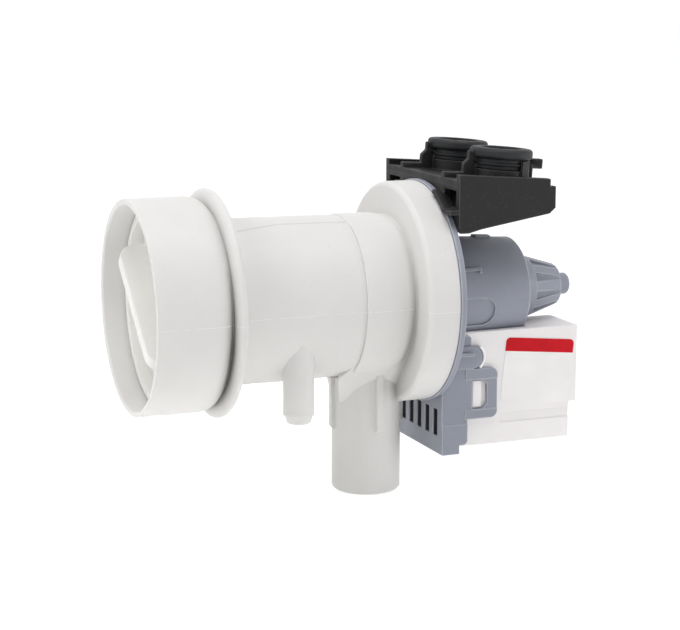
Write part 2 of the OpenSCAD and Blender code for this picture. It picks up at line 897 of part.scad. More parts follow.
module basket_slot_rows() {
    row_x0 = basket_plate_x1 + 3;
    row_x1 = basket_x1 - 3;
    row_gap = 3;
    row_len = (row_x1 - row_x0 - row_gap) / 2;
    for (row = [0, 1])
        for (i = [0:basket_slots - 1])
            rotate([(i + 0.5) * 360 / basket_slots, 0, 0])
                block(row_x0 + row * (row_len + row_gap), row_x0 + row * (row_len + row_gap) + row_len,
                      basket_in_r - over, basket_r + over, -basket_slot_w / 2, basket_slot_w / 2);
}

module filter_basket() {
    color(white_plastic)
        difference() {
            union() {
                rod_x(basket_x0, basket_plate_x1, basket_r);
                tube_x(basket_plate_x1 - over, basket_x1, basket_r, basket_in_r);
            }
            rod_x(basket_x0 - over, basket_plate_x1 + over, pivot_d / 2 + run_gap);
            basket_slot_rows();
            translate([inlet_x, 0, 0])
                rotate([-90, 0, 0])
                    cylinder(h = inlet_reach, r = inlet_bore_r - body_wall);
            block(basket_x0 - over, basket_x1 + over, -rail_w / 2 - rail_gap, rail_w / 2 + rail_gap,
                  -chamber_r, rail_h + rail_gap - chamber_r);
        }
}

// Motor flange, rotor can and wet tube

module flange_seal() {
    color(rubber_black)
        tube_x(flange_seal_x0 + seal_gap, flange_seal_x0 + flange_seal_w - seal_gap,
               plug_bore_r - seal_gap / 2, flange_seal_floor_r + seal_gap);
}

module motor_plug() {
    turned_x([
        [0, plug_x0],
        [plug_r, plug_x0],
        [plug_r, flange_seal_x0],
        [flange_seal_floor_r, flange_seal_x0],
        [flange_seal_floor_r, flange_seal_x0 + flange_seal_w],
        [plug_r, flange_seal_x0 + flange_seal_w],
        [plug_r, disc_x1],
        [flange_od / 2, disc_x1],
        [flange_od / 2, flange_x1],
        [0, flange_x1]
    ]);
    for (i = [0:plug_lugs - 1])
        ring_sector(plug_lug_x0, plug_lug_x1, plug_r + plug_lug_h, plug_r - over,
                    i * 360 / plug_lugs + plug_lug_turn, plug_lug_span);
}

// Radius of the tapered can at a station
function can_at(x) = can_r + can_draft * (can_x1 - x) / can_len;

// Length of the can's outer form, a given distance out from it
module can_rod(x0, x1, gap) {
    turned_x([[0, x0], [can_at(x0) + gap, x0], [can_at(x1) + gap, x1], [0, x1]]);
}

module can_shell() {
    edge = 0.7;
    cone_r0 = cone_od / 2;
    cone_r1 = cone_end_od / 2;
    rib_x0 = can_x1 + cone_neck_len;
    rib_x1 = cone_x1 - 0.6;
    rib_r0 = cone_r0 + (cone_r1 - cone_r0) * cone_neck_len / cone_len;
    rib_inset = 0.15;
    rib_turn = 0.3;
    turned_x([
        [0, flange_x1 - over],
        [can_at(flange_x1 - over), flange_x1 - over],
        [can_at(can_x1 - edge), can_x1 - edge],
        [can_r - edge, can_x1],
        [cone_r0, can_x1],
        [rib_r0, rib_x0],
        [rib_r0 - flute_depth, rib_x0],
        [cone_r1 - 2 * rib_inset, rib_x1],
        [cone_r1 - edge, cone_x1],
        [tip_d / 2, cone_x1],
        [tip_d / 2, tip_x1 - edge],
        [tip_d / 2 - edge, tip_x1],
        [0, tip_x1]
    ]);
    for (i = [0:cone_ribs - 1])
        rotate([(i + rib_turn) * 360 / cone_ribs, 0, 0])
            plate_y(-cone_rib_t / 2, cone_rib_t / 2, [
                [rib_x0 - face_step, 0],
                [rib_x0 - face_step, rib_r0 - rib_inset],
                [rib_x1, cone_r1 - rib_inset],
                [rib_x1, 0]
            ]);
}

// Catch and nub on the can
module can_details() {
    raised = 0.8;
    catch_len = 15.5;
    catch_t = 1.2;
    catch_z1 = 10.7;
    catch_hook_h = 2;
    nub_offset = 20;
    nub_x0 = flange_x1 + nub_offset;
    nub_len = 6;
    nub_w = 4;
    reach = can_root_r + 2 * raised;
    catch_x1 = flange_x1 + catch_len;
    intersection() {
        can_rod(flange_x1 - over, can_x1, raised);
        union() {
            block(flange_x1 - over, catch_x1, -reach, 0, catch_z1 - catch_t, catch_z1);
            block(catch_x1 - catch_t, catch_x1, -reach, 0, catch_z1 - catch_hook_h, catch_z1);
            block(nub_x0, nub_x0 + nub_len, -nub_w / 2, nub_w / 2, 0, reach);
        }
    }
}

// Shallow pocket in the can's near side, with a round end
module can_pocket() {
    pocket_len = 20.4;
    pocket_w = 9.8;
    pocket_depth = 0.7;
    difference() {
        plate_y(-can_root_r - over, 0,
                tab_outline(flange_x1, flange_x1 + pocket_len, -pocket_w, 0, pocket_w * 0.49));
        can_rod(flange_x1 - over, can_x1, -pocket_depth);
    }
}

module leg_slots(x0, x1) {
    gap = fit_gap * 2;
    both_sides()
        block(x0 - gap, x1 + gap, leg_offset - leg_w / 2 - gap, leg_offset + leg_w / 2 + gap,
              -can_root_r - rotor_drop - over, -rotor_drop - pole_r0 / 2);
}

module motor_flange() {
    color(grey_plastic)
        difference() {
            union() {
                motor_plug();
                on_rotor_axis() {
                    can_shell();
                    can_details();
                }
            }
            on_rotor_axis() {
                rod_x(plug_x0 - over, plug_x0 + tube_flange_t, tube_flange_r + seal_gap);
                rod_x(plug_x0, flange_x1 + over, tube_r + seal_gap);
                rod_x(flange_x1, can_x1 - can_end_wall, can_in_r);
                rod_x(flange_x1, tube_end_x + seal_gap, tube_narrow_r + seal_gap);
                can_pocket();
            }
            leg_slots(stack_x0, stack_x1);
            both_sides()
                translate([disc_x1 - over, peg_y, peg_z])
                    rotate([0, 90, 0])
                        cylinder(h = flange_t + 2 * over, r = peg_r + seal_gap);
        }
}

module rotor_tube() {
    bearing_r = bearing_bore / 2;
    color([0.75, 0.75, 0.74])
        on_rotor_axis()
            turned_x([
                [rotor_bore / 2, plug_x0],
                [tube_flange_r, plug_x0],
                [tube_flange_r, plug_x0 + tube_flange_t],
                [tube_r, plug_x0 + tube_flange_t],
                [tube_r, tube_x1],
                [tube_narrow_r, tube_x1],
                [tube_narrow_r, tube_end_x],
                [0, tube_end_x],
                [0, tube_end_x - rotor_tube_wall],
                [bearing_r, tube_end_x - rotor_tube_wall],
                [bearing_r, tube_x1 - rotor_tube_wall],
                [rotor_bore / 2, tube_x1 - rotor_tube_wall]
            ]);
}

// Rotor and its bearings

module rotor_magnet() {
    color([0.2, 0.2, 0.22])
        on_rotor_axis()
            tube_x(stack_x0, stack_x1, magnet_d / 2, sleeve_r + run_gap);
}

module rotor_sleeve() {
    rim_r = magnet_d / 2 - 0.4;
    color([0.2, 0.22, 0.3])
        on_rotor_axis()
            turned_x([
                [shaft_r + run_gap, sleeve_x0],
                [sleeve_hub_r, sleeve_x0],
                [sleeve_hub_r, stack_x0 - sleeve_disc_t],
                [rim_r, stack_x0 - sleeve_disc_t],
                [rim_r, stack_x0],
                [sleeve_r, stack_x0],
                [sleeve_r, stack_x1],
                [rim_r, stack_x1],
                [rim_r, stack_x1 + sleeve_disc_t],
                [sleeve_hub_r, stack_x1 + sleeve_disc_t],
                [sleeve_hub_r, sleeve_x1],
                [shaft_r + run_gap, sleeve_x1]
            ]);
}

module rotor_shaft() {
    color([0.8, 0.8, 0.82])
        on_rotor_axis()
            rod_x(shaft_x0, shaft_x1, shaft_r);
}

module front_bush() {
    color([0.3, 0.3, 0.3])
        on_rotor_axis()
            tube_x(front_bush_x0, front_bush_x1, front_bush_od / 2, shaft_r + run_gap);
}

module front_bush_mount() {
    color(rubber_black)
        on_rotor_axis()
            tube_x(front_bush_x0 + bush_inset, front_bush_x1 - bush_inset, rotor_bore / 2 - run_gap,
                   front_bush_od / 2 + run_gap);
}

module rear_bush() {
    color([0.3, 0.3, 0.3])
        on_rotor_axis()
            tube_x(rear_bush_x0, rear_bush_x0 + rear_bush_len, rear_bush_od / 2, shaft_r + run_gap);
}

module rear_bush_mount() {
    color(rubber_black)
        on_rotor_axis()
            tube_x(rear_bush_x0 + bush_inset, rear_bush_x0 + rear_bush_len - bush_inset,
                   bearing_bore / 2 - run_gap, rear_bush_od / 2 + run_gap);
}

module thrust_washers() {
    color([0.85, 0.8, 0.7])
        on_rotor_axis()
            for (x = [front_washer_x0, rear_washer_x0])
                tube_x(x, x + washer_t, sleeve_hub_r, shaft_r + run_gap);
}

module drive_dog() {
    color([0.2, 0.22, 0.3])
        on_rotor_axis()
            difference() {
                union() {
                    rod_x(dog_x0, dog_x1, dog_hub_r);
                    ring_sector(dog_x0, dog_x1, dog_r, shaft_r / 2, 90, dog_span);
                }
                rod_x(dog_x0 - over, dog_x1 + over, shaft_r + run_gap);
            }
}

module impeller_blade() {
    block(impeller_x0, impeller_x1 - impeller_plate_t / 2, impeller_hub_r - over, impeller_d / 2,
          -blade_t / 2, blade_t / 2);
}

module impeller() {
    dog_bore_r = dog_hub_r + end_gap;
    color([0.25, 0.27, 0.3])
        on_rotor_axis() {
            tube_x(impeller_x0, impeller_x1, impeller_hub_r, shaft_r + run_gap);
            tube_x(impeller_x1 - impeller_plate_t, impeller_x1, impeller_d / 2, impeller_hub_r - 1);
            for (i = [0:impeller_blades - 1])
                rotate([i * 360 / impeller_blades, 0, 0])
                    impeller_blade();
            ring_sector(impeller_x1 - over, dog_x1, dog_r, dog_bore_r, 270, dog_span);
        }
}

module shaft_clip() {
    color([0.7, 0.7, 0.72])
        on_rotor_axis()
            tube_x(clip_x0, clip_x0 + clip_t, clip_r, shaft_r + run_gap);
}

// Stator

module stator_core() {
    leg_y0 = leg_offset - leg_w / 2;
    leg_y1 = leg_offset + leg_w / 2;
    pole_z = pole_r1 * sin(pole_span / 2);
    color([0.55, 0.55, 0.56])
        difference() {
            union() {
                intersection() {
                    on_rotor_axis()
                        rod_x(stack_x0, stack_x1, pole_r1);
                    both_sides()
                        block(stack_x0 - over, stack_x1 + over, leg_y0, pole_r1 + over,
                              -rotor_drop - pole_z, pole_z - rotor_drop);
                }
                both_sides()
                    block(stack_x0, stack_x1, leg_y0, leg_y1, yoke_z0, -rotor_drop - pole_r0 / 2);
                block(stack_x0, stack_x1, -leg_y1, leg_y1, yoke_z0, yoke_z1);
            }
            on_rotor_axis()
                rod_x(stack_x0 - over, stack_x1 + over, pole_r0);
        }
}

// Rectangular sleeve round one leg, a given distance out from it
module leg_sleeve(inner, outer, z0, z1) {
    leg_y0 = leg_offset - leg_w / 2;
    leg_y1 = leg_offset + leg_w / 2;
    difference() {
        block(stack_x0 - outer, stack_x1 + outer, leg_y0 - outer, leg_y1 + outer, z0, z1);
        block(stack_x0 - inner, stack_x1 + inner, leg_y0 - inner, leg_y1 + inner, z0 - over, z1 + over);
    }
}

module bobbin() {
    tube = bobbin_gap + bobbin_wall;
    flange = tube + winding_t + bobbin_edge;
    color([0.9, 0.9, 0.86]) {
        leg_sleeve(bobbin_gap, tube, bobbin_z0, bobbin_z1);
        leg_sleeve(bobbin_gap, flange, bobbin_z0, bobbin_z0 + bobbin_flange_t);
        leg_sleeve(bobbin_gap, flange, bobbin_z1 - bobbin_flange_t, bobbin_z1);
    }
}

module winding() {
    tube = bobbin_gap + bobbin_wall;
    inset = bobbin_flange_t + face_step;
    color([0.72, 0.42, 0.2])
        leg_sleeve(tube + face_step, tube + winding_t, bobbin_z0 + inset, bobbin_z1 - inset);
}

module bobbin_near() {
    mirror([0, 1, 0])
        bobbin();
}

module bobbin_far() {
    bobbin();
}

module winding_near() {
    mirror([0, 1, 0])
        winding();
}

module winding_far() {
    winding();
}

module thermal_cutout() {
    cutout_t = 3;
    cutout_w = 8;
    cutout_h = 6;
    cutout_clear = 0.4;
    cutout_x0 = coil_x1 + seal_gap;
    cutout_z1 = -socket_mid - socket_h / 2 - cover_wall - cutout_clear;
    color([0.25, 0.22, 0.2])
        block(cutout_x0, cutout_x0 + cutout_t, leg_offset - cutout_w / 2, leg_offset + cutout_w / 2,
              cutout_z1 - cutout_h, cutout_z1);
}

// Stator frame

function frame_side_outline() =
    let (foot_top = frame_floor - frame_foot_h, side_top = clip_top - 2 * clip_seam, corner = 1.5)
    concat(
        [[flange_x1, -frame_floor], [frame_floor_x1, -frame_floor], [frame_floor_x1, -foot_top]],
        arc([frame_x1 - corner, corner - foot_top], corner, -90, 0, 5),
        [[frame_x1, -side_top], [flange_x1, -side_top]]
    );

// Side of the frame, thicker below its ledge
module frame_side() {
    plate_y(-frame_y, frame_side_t - frame_y, frame_side_outline());
    intersection() {
        plate_y(-frame_y - frame_raise, frame_side_t / 2 - frame_y, frame_side_outline());
        block(flange_x1 - over, frame_x1 + over, -frame_y - over, over - frame_y,
              -frame_floor - over, -frame_ledge);
    }
}

// Snap arm with thicker bars above and below its window
module clip_arm() {
    w = clip_window;
    cut = clip_window_cut;
    outline = tab_outline(frame_x1 - over, clip_x1, -clip_bottom, -clip_top, clip_corner_r);
    difference() {
        union() {
            plate_y(-frame_y, frame_side_t - frame_y, outline);
            intersection() {
                plate_y(-frame_y - frame_raise, frame_side_t / 2 - frame_y, outline);
                for (bar = [[-clip_bottom - over, -w[3] - fit_gap], [fit_gap - w[2], over - clip_top]])
                    block(frame_x1 - 2 * over, clip_x1 + over, -frame_y - over, over - frame_y,
                          bar[0], bar[1]);
            }
        }
        plate_y(-frame_y - over, frame_side_t - frame_y + over, [
            [w[0], -w[2]],
            [w[0], -w[3]],
            [w[1] - cut, -w[3]],
            [w[1], cut - w[3]],
            [w[1], -w[2] - cut],
            [w[1] - cut, -w[2]]
        ]);
    }
}

module frame_lug() {
    lug_r = 1.8;
    step_len = 10.9;
    step_h = 3.8;
    step_r = 1.2;
    lug_z1 = lug_z0 + lug_h;
    plate_y(-frame_y, frame_side_t - frame_y,
            tab_outline(flange_x1, flange_x1 + lug_len, lug_z0, lug_z1, lug_r));
    plate_y(-frame_y, frame_side_t - frame_y,
            tab_outline(flange_x1, flange_x1 + step_len, lug_z1 - step_r / 4, lug_z1 + step_h, step_r));
}

module stator_frame() {
    slot_foot = 6.1;
    slot_top = 40;
    slot_shift = 0.4;
    color(grey_plastic) {
        difference() {
            block(flange_x1, frame_plate_x1, -frame_y, frame_y, -frame_floor, -frame_top);
            for (i = [0:vent_slots - 1]) {
                y = (i - (vent_slots - 1) / 2) * vent_pitch + slot_shift;
                block(flange_x1 - over, frame_plate_x1 + over, y - vent_slot_w / 2, y + vent_slot_w / 2,
                      slot_foot - frame_floor, -slot_top);
            }
        }
        block(flange_x1, frame_floor_x1, -frame_y, frame_y, -frame_floor, frame_floor_t - frame_floor);
        both_sides() {
            frame_side();
            clip_arm();
            frame_lug();
        }
    }
}

// Stator cover

module cover_outline(inset, bottom) {
    half = cover_half_w - inset;
    polygon([
        [-half, -bottom + inset],
        [half, -bottom + inset],
        [half, -cover_back_top - inset],
        [cover_ridge_y - inset, -cover_back_top - inset],
        [cover_ridge_y - inset, -cover_top - inset],
        [-half, -cover_top - inset]
    ]);
}

module cover_body(inset, x0, x1_top, x1_low) {
    along_x(x0)
        linear_extrude(x1_top - x0)
            cover_outline(inset, cover_step);
    along_x(x0)
        linear_extrude(x1_low - x0)
            cover_outline(inset, cover_floor);
}

module cover_hollow() {
    gap = fit_gap * 2 + cover_wall;
    difference() {
        cover_body(cover_wall, cover_x0 - over, cover_x1 - cover_wall, cover_x1_low - cover_wall);
        on_rotor_axis()
            can_rod(cover_x0 - 2 * over, can_x1 + gap, gap);
        block(socket_x0 - cover_wall, cover_x1, -socket_w / 2 - cover_wall, socket_w / 2 + cover_wall,
              -socket_mid - socket_h / 2 - cover_wall, -socket_mid + socket_h / 2 + cover_wall);
    }
}

module spade_slots(gap) {
    for (side = [-1, 1]) {
        y = side * socket_w / 4;
        block(spade_x0, cover_x1 - spade_inset, y - spade_w / 2 - gap, y + spade_w / 2 + gap,
              -socket_mid - spade_t / 2 - gap, -socket_mid + spade_t / 2 + gap);
    }
}

module cover_nub() {
    w = clip_window;
    gap = fit_gap * 2;
    block(w[0] + gap, w[1] - clip_window_cut, -cover_half_w - nub_h, over - cover_half_w,
          gap - w[3], -w[2] - gap);
}

// Rounded rib behind the end of each frame lug
module lug_stop() {
    stop_h = 1.3;
    stop_w = 1.3;
    stop_x0 = flange_x1 + lug_len + fit_gap * 2;
    plate_y(-cover_half_w - stop_h, over - cover_half_w,
            tab_outline(stop_x0, stop_x0 + stop_w, lug_z0 + over, lug_z0 + lug_h - over, stop_w * 0.9));
}

module cover_band() {
    band_offset = 14.5;
    band_x0 = cover_x0 + band_offset;
    band_depth = 0.5;
    band_top = cover_step + 2;
    band_bottom = cover_step + 5.3;
    both_sides()
        block(band_x0, cover_x1 + over, -cover_half_w - over, band_depth - cover_half_w,
              -band_bottom, -band_top);
}

module stator_cover() {
    gap = fit_gap * 2;
    color(cover_plastic) {
        difference() {
            cover_body(0, cover_x0, cover_x1, cover_x1_low);
            cover_hollow();
            on_rotor_axis()
                can_rod(cover_x0 - over, can_x1 + gap, gap);
            leg_slots(cover_x0, stack_x1);
            both_sides()
                block(cover_x0 - over, stack_x1 + gap, leg_offset - leg_w / 2 - gap,
                      leg_offset + leg_w / 2 + gap, -coil_top, -rotor_drop);
            block(socket_x0, cover_x1 + over, -socket_w / 2, socket_w / 2, -socket_mid - socket_h / 2,
                  -socket_mid + socket_h / 2);
            spade_slots(seal_gap);
            cover_band();
        }
        both_sides() {
            cover_nub();
            lug_stop();
        }
    }
}

module label_plate() {
    corner = 1.6;
    half_w = label_w / 2;
    half_h = label_h / 2;
    color([0.97, 0.97, 0.97])
        translate([label_x, -cover_half_w, label_z])
            rotate([90, label_tilt, 0])
                linear_extrude(label_t)
                    polygon(concat(
                        arc([half_w - corner, half_h - corner], corner, 0, 90, 5),
                        arc([corner - half_w, half_h - corner], corner, 90, 180, 5),
                        arc([corner - half_w, corner - half_h], corner, 180, 270, 5),
                        arc([half_w - corner, corner - half_h], corner, 270, 360, 5)
                    ));
}

module spade_terminals() {
    color([0.8, 0.78, 0.7])
        spade_slots(0);
}

// Mounting bracket

// Frame of the pitched deck: origin at the top of the wall over the flange
module on_deck() {
    translate([bracket_x0, 0, bracket_top])
        rotate([0, bracket_pitch, 0])
            children();
}

module bracket_wall_plate() {
    wall_h = 19.8;
    tail_len = 2.2;
    tail_drop = 2.6;
    tail_h = 9.3;
    tail_corner = 1.9;
    slope_len = 8.6;
    foot_round = 2.4;
    top_end = bracket_top - bracket_len * tan(bracket_pitch);
    tail_top = top_end - tail_drop;
    tail_bottom = tail_top - tail_h;
    slope_x0 = bracket_x0 + slope_len;
    foot = bracket_top - wall_h;
    plate_y(-bracket_half_w, bracket_wall - bracket_half_w, [
        [bracket_x0, bracket_top],
        [bracket_x1, top_end],
        [bracket_x1, tail_top],
        [bracket_x1 + tail_len, tail_top],
        [bracket_x1 + tail_len, tail_bottom + tail_corner],
        [bracket_x1, tail_bottom],
        [slope_x0, foot + foot_round / 2],
        [slope_x0 - 2 * foot_round, foot],
        [bracket_x0 + foot_round / 3, foot],
        [bracket_x0, foot + foot_round]
    ]);
}

// Front web with an opening on each side, and gussets that close it against the walls
module bracket_web() {
    deck_y = bracket_half_w - bracket_wall / 2;
    w = web_window;
    x1 = bracket_x0 + bracket_wall;
    difference() {
        block(bracket_x0, x1, -deck_y, deck_y, web_floor - over, bracket_top - deck_under + over);
        both_sides()
            block(bracket_x0 - over, x1 + over, -w[1], -w[0], w[2], w[3]);
    }
    both_sides()
        block(bracket_x0, x1, -deck_y, -gusset_y, gusset_floor, web_floor);
}

// Thin lip over the rim of the motor flange, with a shelf out to the wall
module bracket_hook() {
    x0 = bracket_x0 - hook_reach;
    x1 = bracket_x0 + bracket_wall / 2;
    ring_sector(x0, x1, lip_r + lip_t, lip_r, 180 - lip_turn, lip_span);
    difference() {
        block(x0, x1, fit_gap - bracket_half_w, over - gusset_y, shelf_z, shelf_z + lip_t);
        rod_x(x0 - over, bracket_x0, lip_r + face_step);
    }
}

module tower_fin() {
    y = tower_spacing / 2;
    fin_t = 2;
    fin_floor = deck_t / 2 - deck_under;
    rim_gap = 0.5;
    post_len = 1.2;
    step_len = 1.8;
    step_z = 3;
    rise_z = 4.7;
    rim_x = tower_offset - grommet_r - rim_gap;
    post_x = rim_x - post_len;
    step_x = post_x - step_len;
    post_z = grommet_rim_z1 - deck_drop - 1.4;
    neck_x = tower_offset - tower_r - fit_gap / 2;
    neck_z = tower_h - deck_drop - rim_gap;
    under_z = grommet_rim_z0 - deck_drop - rim_gap;
    wall_x = tower_offset - tower_r + tower_wall / 2;
    on_deck()
        plate_y(-y - fin_t / 2, fin_t / 2 - y, [
            [deck_x0, fin_floor],
            [deck_x0, 0],
            [step_x, 0],
            [step_x, step_z],
            [post_x, rise_z],
            [post_x, post_z],
            [rim_x, post_z],
            [rim_x, under_z],
            [neck_x, under_z],
            [neck_x, neck_z],
            [wall_x, neck_z],
            [wall_x, fin_floor]
        ]);
}

// Tower with a thin guard wall round the grommet's neck and a key beside it
module tower() {
    key_h = 0.9;
    key_w = 3.4;
    key_angle = -60;
    guard_t = 0.45;
    guard_span = 115;
    guard_in = grommet_ring_r + face_step;
    guard_z = grommet_rim_z0 - fit_gap;
    on_deck()
        translate([tower_offset, -tower_spacing / 2, -deck_drop]) {
            translate([0, 0, -deck_t / 2])
                cylinder(h = tower_h + deck_t / 2, r = tower_r);
            rotate([0, 0, key_angle])
                block(guard_in + face_step, tower_r + key_h, -key_w / 2, key_w / 2, -deck_t / 2,
                      guard_z - fit_gap);
            rotate([0, 0, key_angle])
                rotate_extrude(angle = guard_span)
                    translate([guard_in, -deck_t / 2])
                        square([guard_t, guard_z + deck_t / 2]);
        }
}

// Small flag at the motor end of the deck
module bracket_flag() {
    y = tower_spacing / 2;
    flag_w = 3;
    flag_back = 2.4;
    flag_x0 = bracket_len - flag_back;
    stem_t = 1.8;
    flag_len = 5.6;
    flag_z0 = 2.2;
    flag_z1 = 5.6;
    on_deck() {
        block(flag_x0, flag_x0 + stem_t, -y - flag_w / 2, flag_w / 2 - y,
              deck_t / 2 - deck_under, flag_z0 + over);
        block(flag_x0, flag_x0 + flag_len, -y - flag_w / 2, flag_w / 2 - y, flag_z0, flag_z1);
    }
}

module mounting_bracket() {
    deck_y = bracket_half_w - bracket_wall / 2;
    color(black_plastic)
        difference() {
            union() {
                on_deck()
                    block(deck_x0, bracket_len, -deck_y, deck_y, -deck_under, -deck_drop);
                bracket_web();
                both_sides() {
                    bracket_wall_plate();
                    bracket_hook();
                    tower_fin();
                    tower();
                    bracket_flag();
                    translate([disc_x1 + fit_gap, peg_y, peg_z])
                        rotate([0, 90, 0])
                            cylinder(h = flange_t + over, r = peg_r);
                }
            }
            both_sides()
                on_deck()
                    translate([tower_offset, -tower_spacing / 2, -deck_under - over])
                        cylinder(h = tower_h + deck_t + 2 * over, r = tower_bore_r);
        }
}

module grommet() {
    waist_r = tower_r - 0.8;
    ring_z = grommet_seat_z + grommet_neck_h * 0.4;
    ring_t = 0.9;
    rim_z0 = grommet_rim_z0;
    rim_z1 = grommet_rim_z1;
    round_r = grommet_rim_h * 0.35;
    bore_r = grommet_bore / 2;
    recess_w = 3;
    recess_depth = 1.5;
    recess_r = bore_r + recess_w;
    recess_z = rim_z1 - recess_depth;
    foot_z1 = -deck_t - face_step;
    foot_z0 = foot_z1 - grommet_foot_t;
    color(rubber_black)
        on_deck()
            translate([tower_offset, 0, -deck_drop])
                rotate_extrude()
                    polygon(concat(
                        [
                            [bore_r, foot_z0],
                            [grommet_foot_r, foot_z0],
                            [grommet_foot_r, foot_z1],
                            [grommet_neck_r, foot_z1],
                            [grommet_neck_r, grommet_seat_z],
                            [waist_r, grommet_seat_z],
                            [waist_r, ring_z],
                            [grommet_ring_r, ring_z],
                            [grommet_ring_r, ring_z + ring_t],
                            [waist_r, ring_z + ring_t],
                            [waist_r, rim_z0]
                        ],
                        arc([grommet_r - round_r, rim_z0 + round_r], round_r, -90, 0, 6),
                        arc([grommet_r - round_r, rim_z1 - round_r], round_r, 0, 90, 6),
                        [[recess_r, rim_z1], [recess_r, recess_z], [bore_r, recess_z]]
                    ));
}

module grommet_near() {
    translate([0, -tower_spacing / 2, 0])
        grommet();
}

module grommet_far() {
    translate([0, tower_spacing / 2, 0])
        grommet();
}

housing_collar();
housing_chamber();
housing_volute();
filter_knob();
filter_seal();
filter_basket();
flange_seal();
motor_flange();
rotor_tube();
rotor_magnet();
rotor_sleeve();
rotor_shaft();
front_bush();
rear_bush();
front_bush_mount();
rear_bush_mount();
thrust_washers();
drive_dog();
impeller();
shaft_clip();
stator_core();
bobbin_near();
bobbin_far();
winding_near();
winding_far();
thermal_cutout();
stator_frame();
stator_cover();
label_plate();
spade_terminals();
mounting_bracket();
grommet_near();
grommet_far();
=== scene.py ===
"""Looks of a washer drain pump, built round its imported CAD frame. Metres, +Z up."""

import json
import math
import random

import bmesh
import bpy
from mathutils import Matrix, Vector
from mathutils.bvhtree import BVHTree
from mathutils.geometry import intersect_point_line
from mathutils.kdtree import KDTree


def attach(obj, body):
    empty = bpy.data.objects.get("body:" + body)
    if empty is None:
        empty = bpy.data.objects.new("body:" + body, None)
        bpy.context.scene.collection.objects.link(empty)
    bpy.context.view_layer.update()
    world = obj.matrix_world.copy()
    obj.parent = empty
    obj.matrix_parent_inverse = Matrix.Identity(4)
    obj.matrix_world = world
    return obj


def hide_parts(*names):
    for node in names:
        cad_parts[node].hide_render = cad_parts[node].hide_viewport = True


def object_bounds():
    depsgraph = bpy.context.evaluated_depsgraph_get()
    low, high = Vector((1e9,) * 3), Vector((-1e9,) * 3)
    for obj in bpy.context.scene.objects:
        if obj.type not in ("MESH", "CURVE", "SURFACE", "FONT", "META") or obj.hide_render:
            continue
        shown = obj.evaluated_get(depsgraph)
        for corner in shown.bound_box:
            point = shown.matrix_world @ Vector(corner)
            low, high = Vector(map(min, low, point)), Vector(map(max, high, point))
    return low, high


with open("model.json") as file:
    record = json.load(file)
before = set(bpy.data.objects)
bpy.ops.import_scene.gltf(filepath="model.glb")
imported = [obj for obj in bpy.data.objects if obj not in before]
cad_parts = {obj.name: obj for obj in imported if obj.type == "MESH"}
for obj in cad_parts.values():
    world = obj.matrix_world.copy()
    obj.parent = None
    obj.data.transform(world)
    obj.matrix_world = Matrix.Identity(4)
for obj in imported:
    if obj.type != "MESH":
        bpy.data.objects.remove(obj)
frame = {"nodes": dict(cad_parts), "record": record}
cad_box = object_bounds()
nodes = frame["nodes"]
body_of_node = {
    node: body
    for body, members in frame["record"]["behaviour"]["bodies"].items()
    for node in members
}
slot_of_node = {s["node"]: s["material_slot"] for s in frame["record"]["subparts"]}
MM = 0.001

# Sizes taken from the part's source, in millimetres
COLLAR_R, COLLAR_LEN, COLLAR_ROUND = 36.2, 25.4, 5.0
GROOVE_R, BEAD_X0, BEAD_X1, BEAD_R, BEAD_REAR = 33.6, 25.9, 29.5, 38.7, 1.44
BODY_R0, BODY_R1 = 28.6, 28.0
PANEL_W, PANEL_FLARE_W, PANEL_FLARE_X = 18.4, 27.6, 49.5
VOLUTE_X0, VOLUTE_R, VOLUTE_CROWN, CROWN_LEN = 74.3, 28.9, 1.9, 9.05
DISC_X0, DISC_X1, DISC_R, DISC_EDGE = 92.4, 103.7, 38.4, 2.0
SEAM_Z = -1.5
LABEL_X, LABEL_Z, LABEL_TILT, LABEL_HALF_H, RED_BAND = 143.0, -28.3, 5.5, 11.3, 4.8
FLANGE_X1, FRAME_Y, COVER_Y = 105.7, 19.2, 17.7
CAN_X1, CAN_R, CAN_EDGE, CAN_DROP = 140.0, 18.0, 0.7, 1.2
BRACKET_TOP, BRACKET_PITCH, FIN_Y = 43.3, 4.3, 17.6
NOZZLE_X, NOZZLE_Y = 52.8, -19.8
VENT_COUNT, VENT_PITCH, VENT_SHIFT, VENT_HALF_W, VENT_FOOT, VENT_TOP = 5, 6.9, 0.4, 1.74, -49.4, -40.1
CROSS_RIB_X, CROSS_RIB_T, CROSS_RIB_HALF_W, CROSS_RIB_FOOT, CROSS_RIB_TOP = 112, 1.5, 29.6, 28.5, 38.4
# Low hose stops: node, centre x and y, height and spigot radius
HOSE_STOPS = (
    ("housing_volute", 85.1, 0.0, -47.1, 12.0),
    ("housing_chamber", NOZZLE_X, NOZZLE_Y, -25.6, 5.2),
)


# Colours and node helpers

def srgb(r, g, b):
    """Linear colour of 0 to 255 screen values."""
    def channel(c):
        c /= 255
        return c / 12.92 if c <= 0.04045 else ((c + 0.055) / 1.055) ** 2.4
    return (channel(r), channel(g), channel(b), 1)


def shade(colour, factor):
    return tuple(c * factor for c in colour[:3]) + (1,)


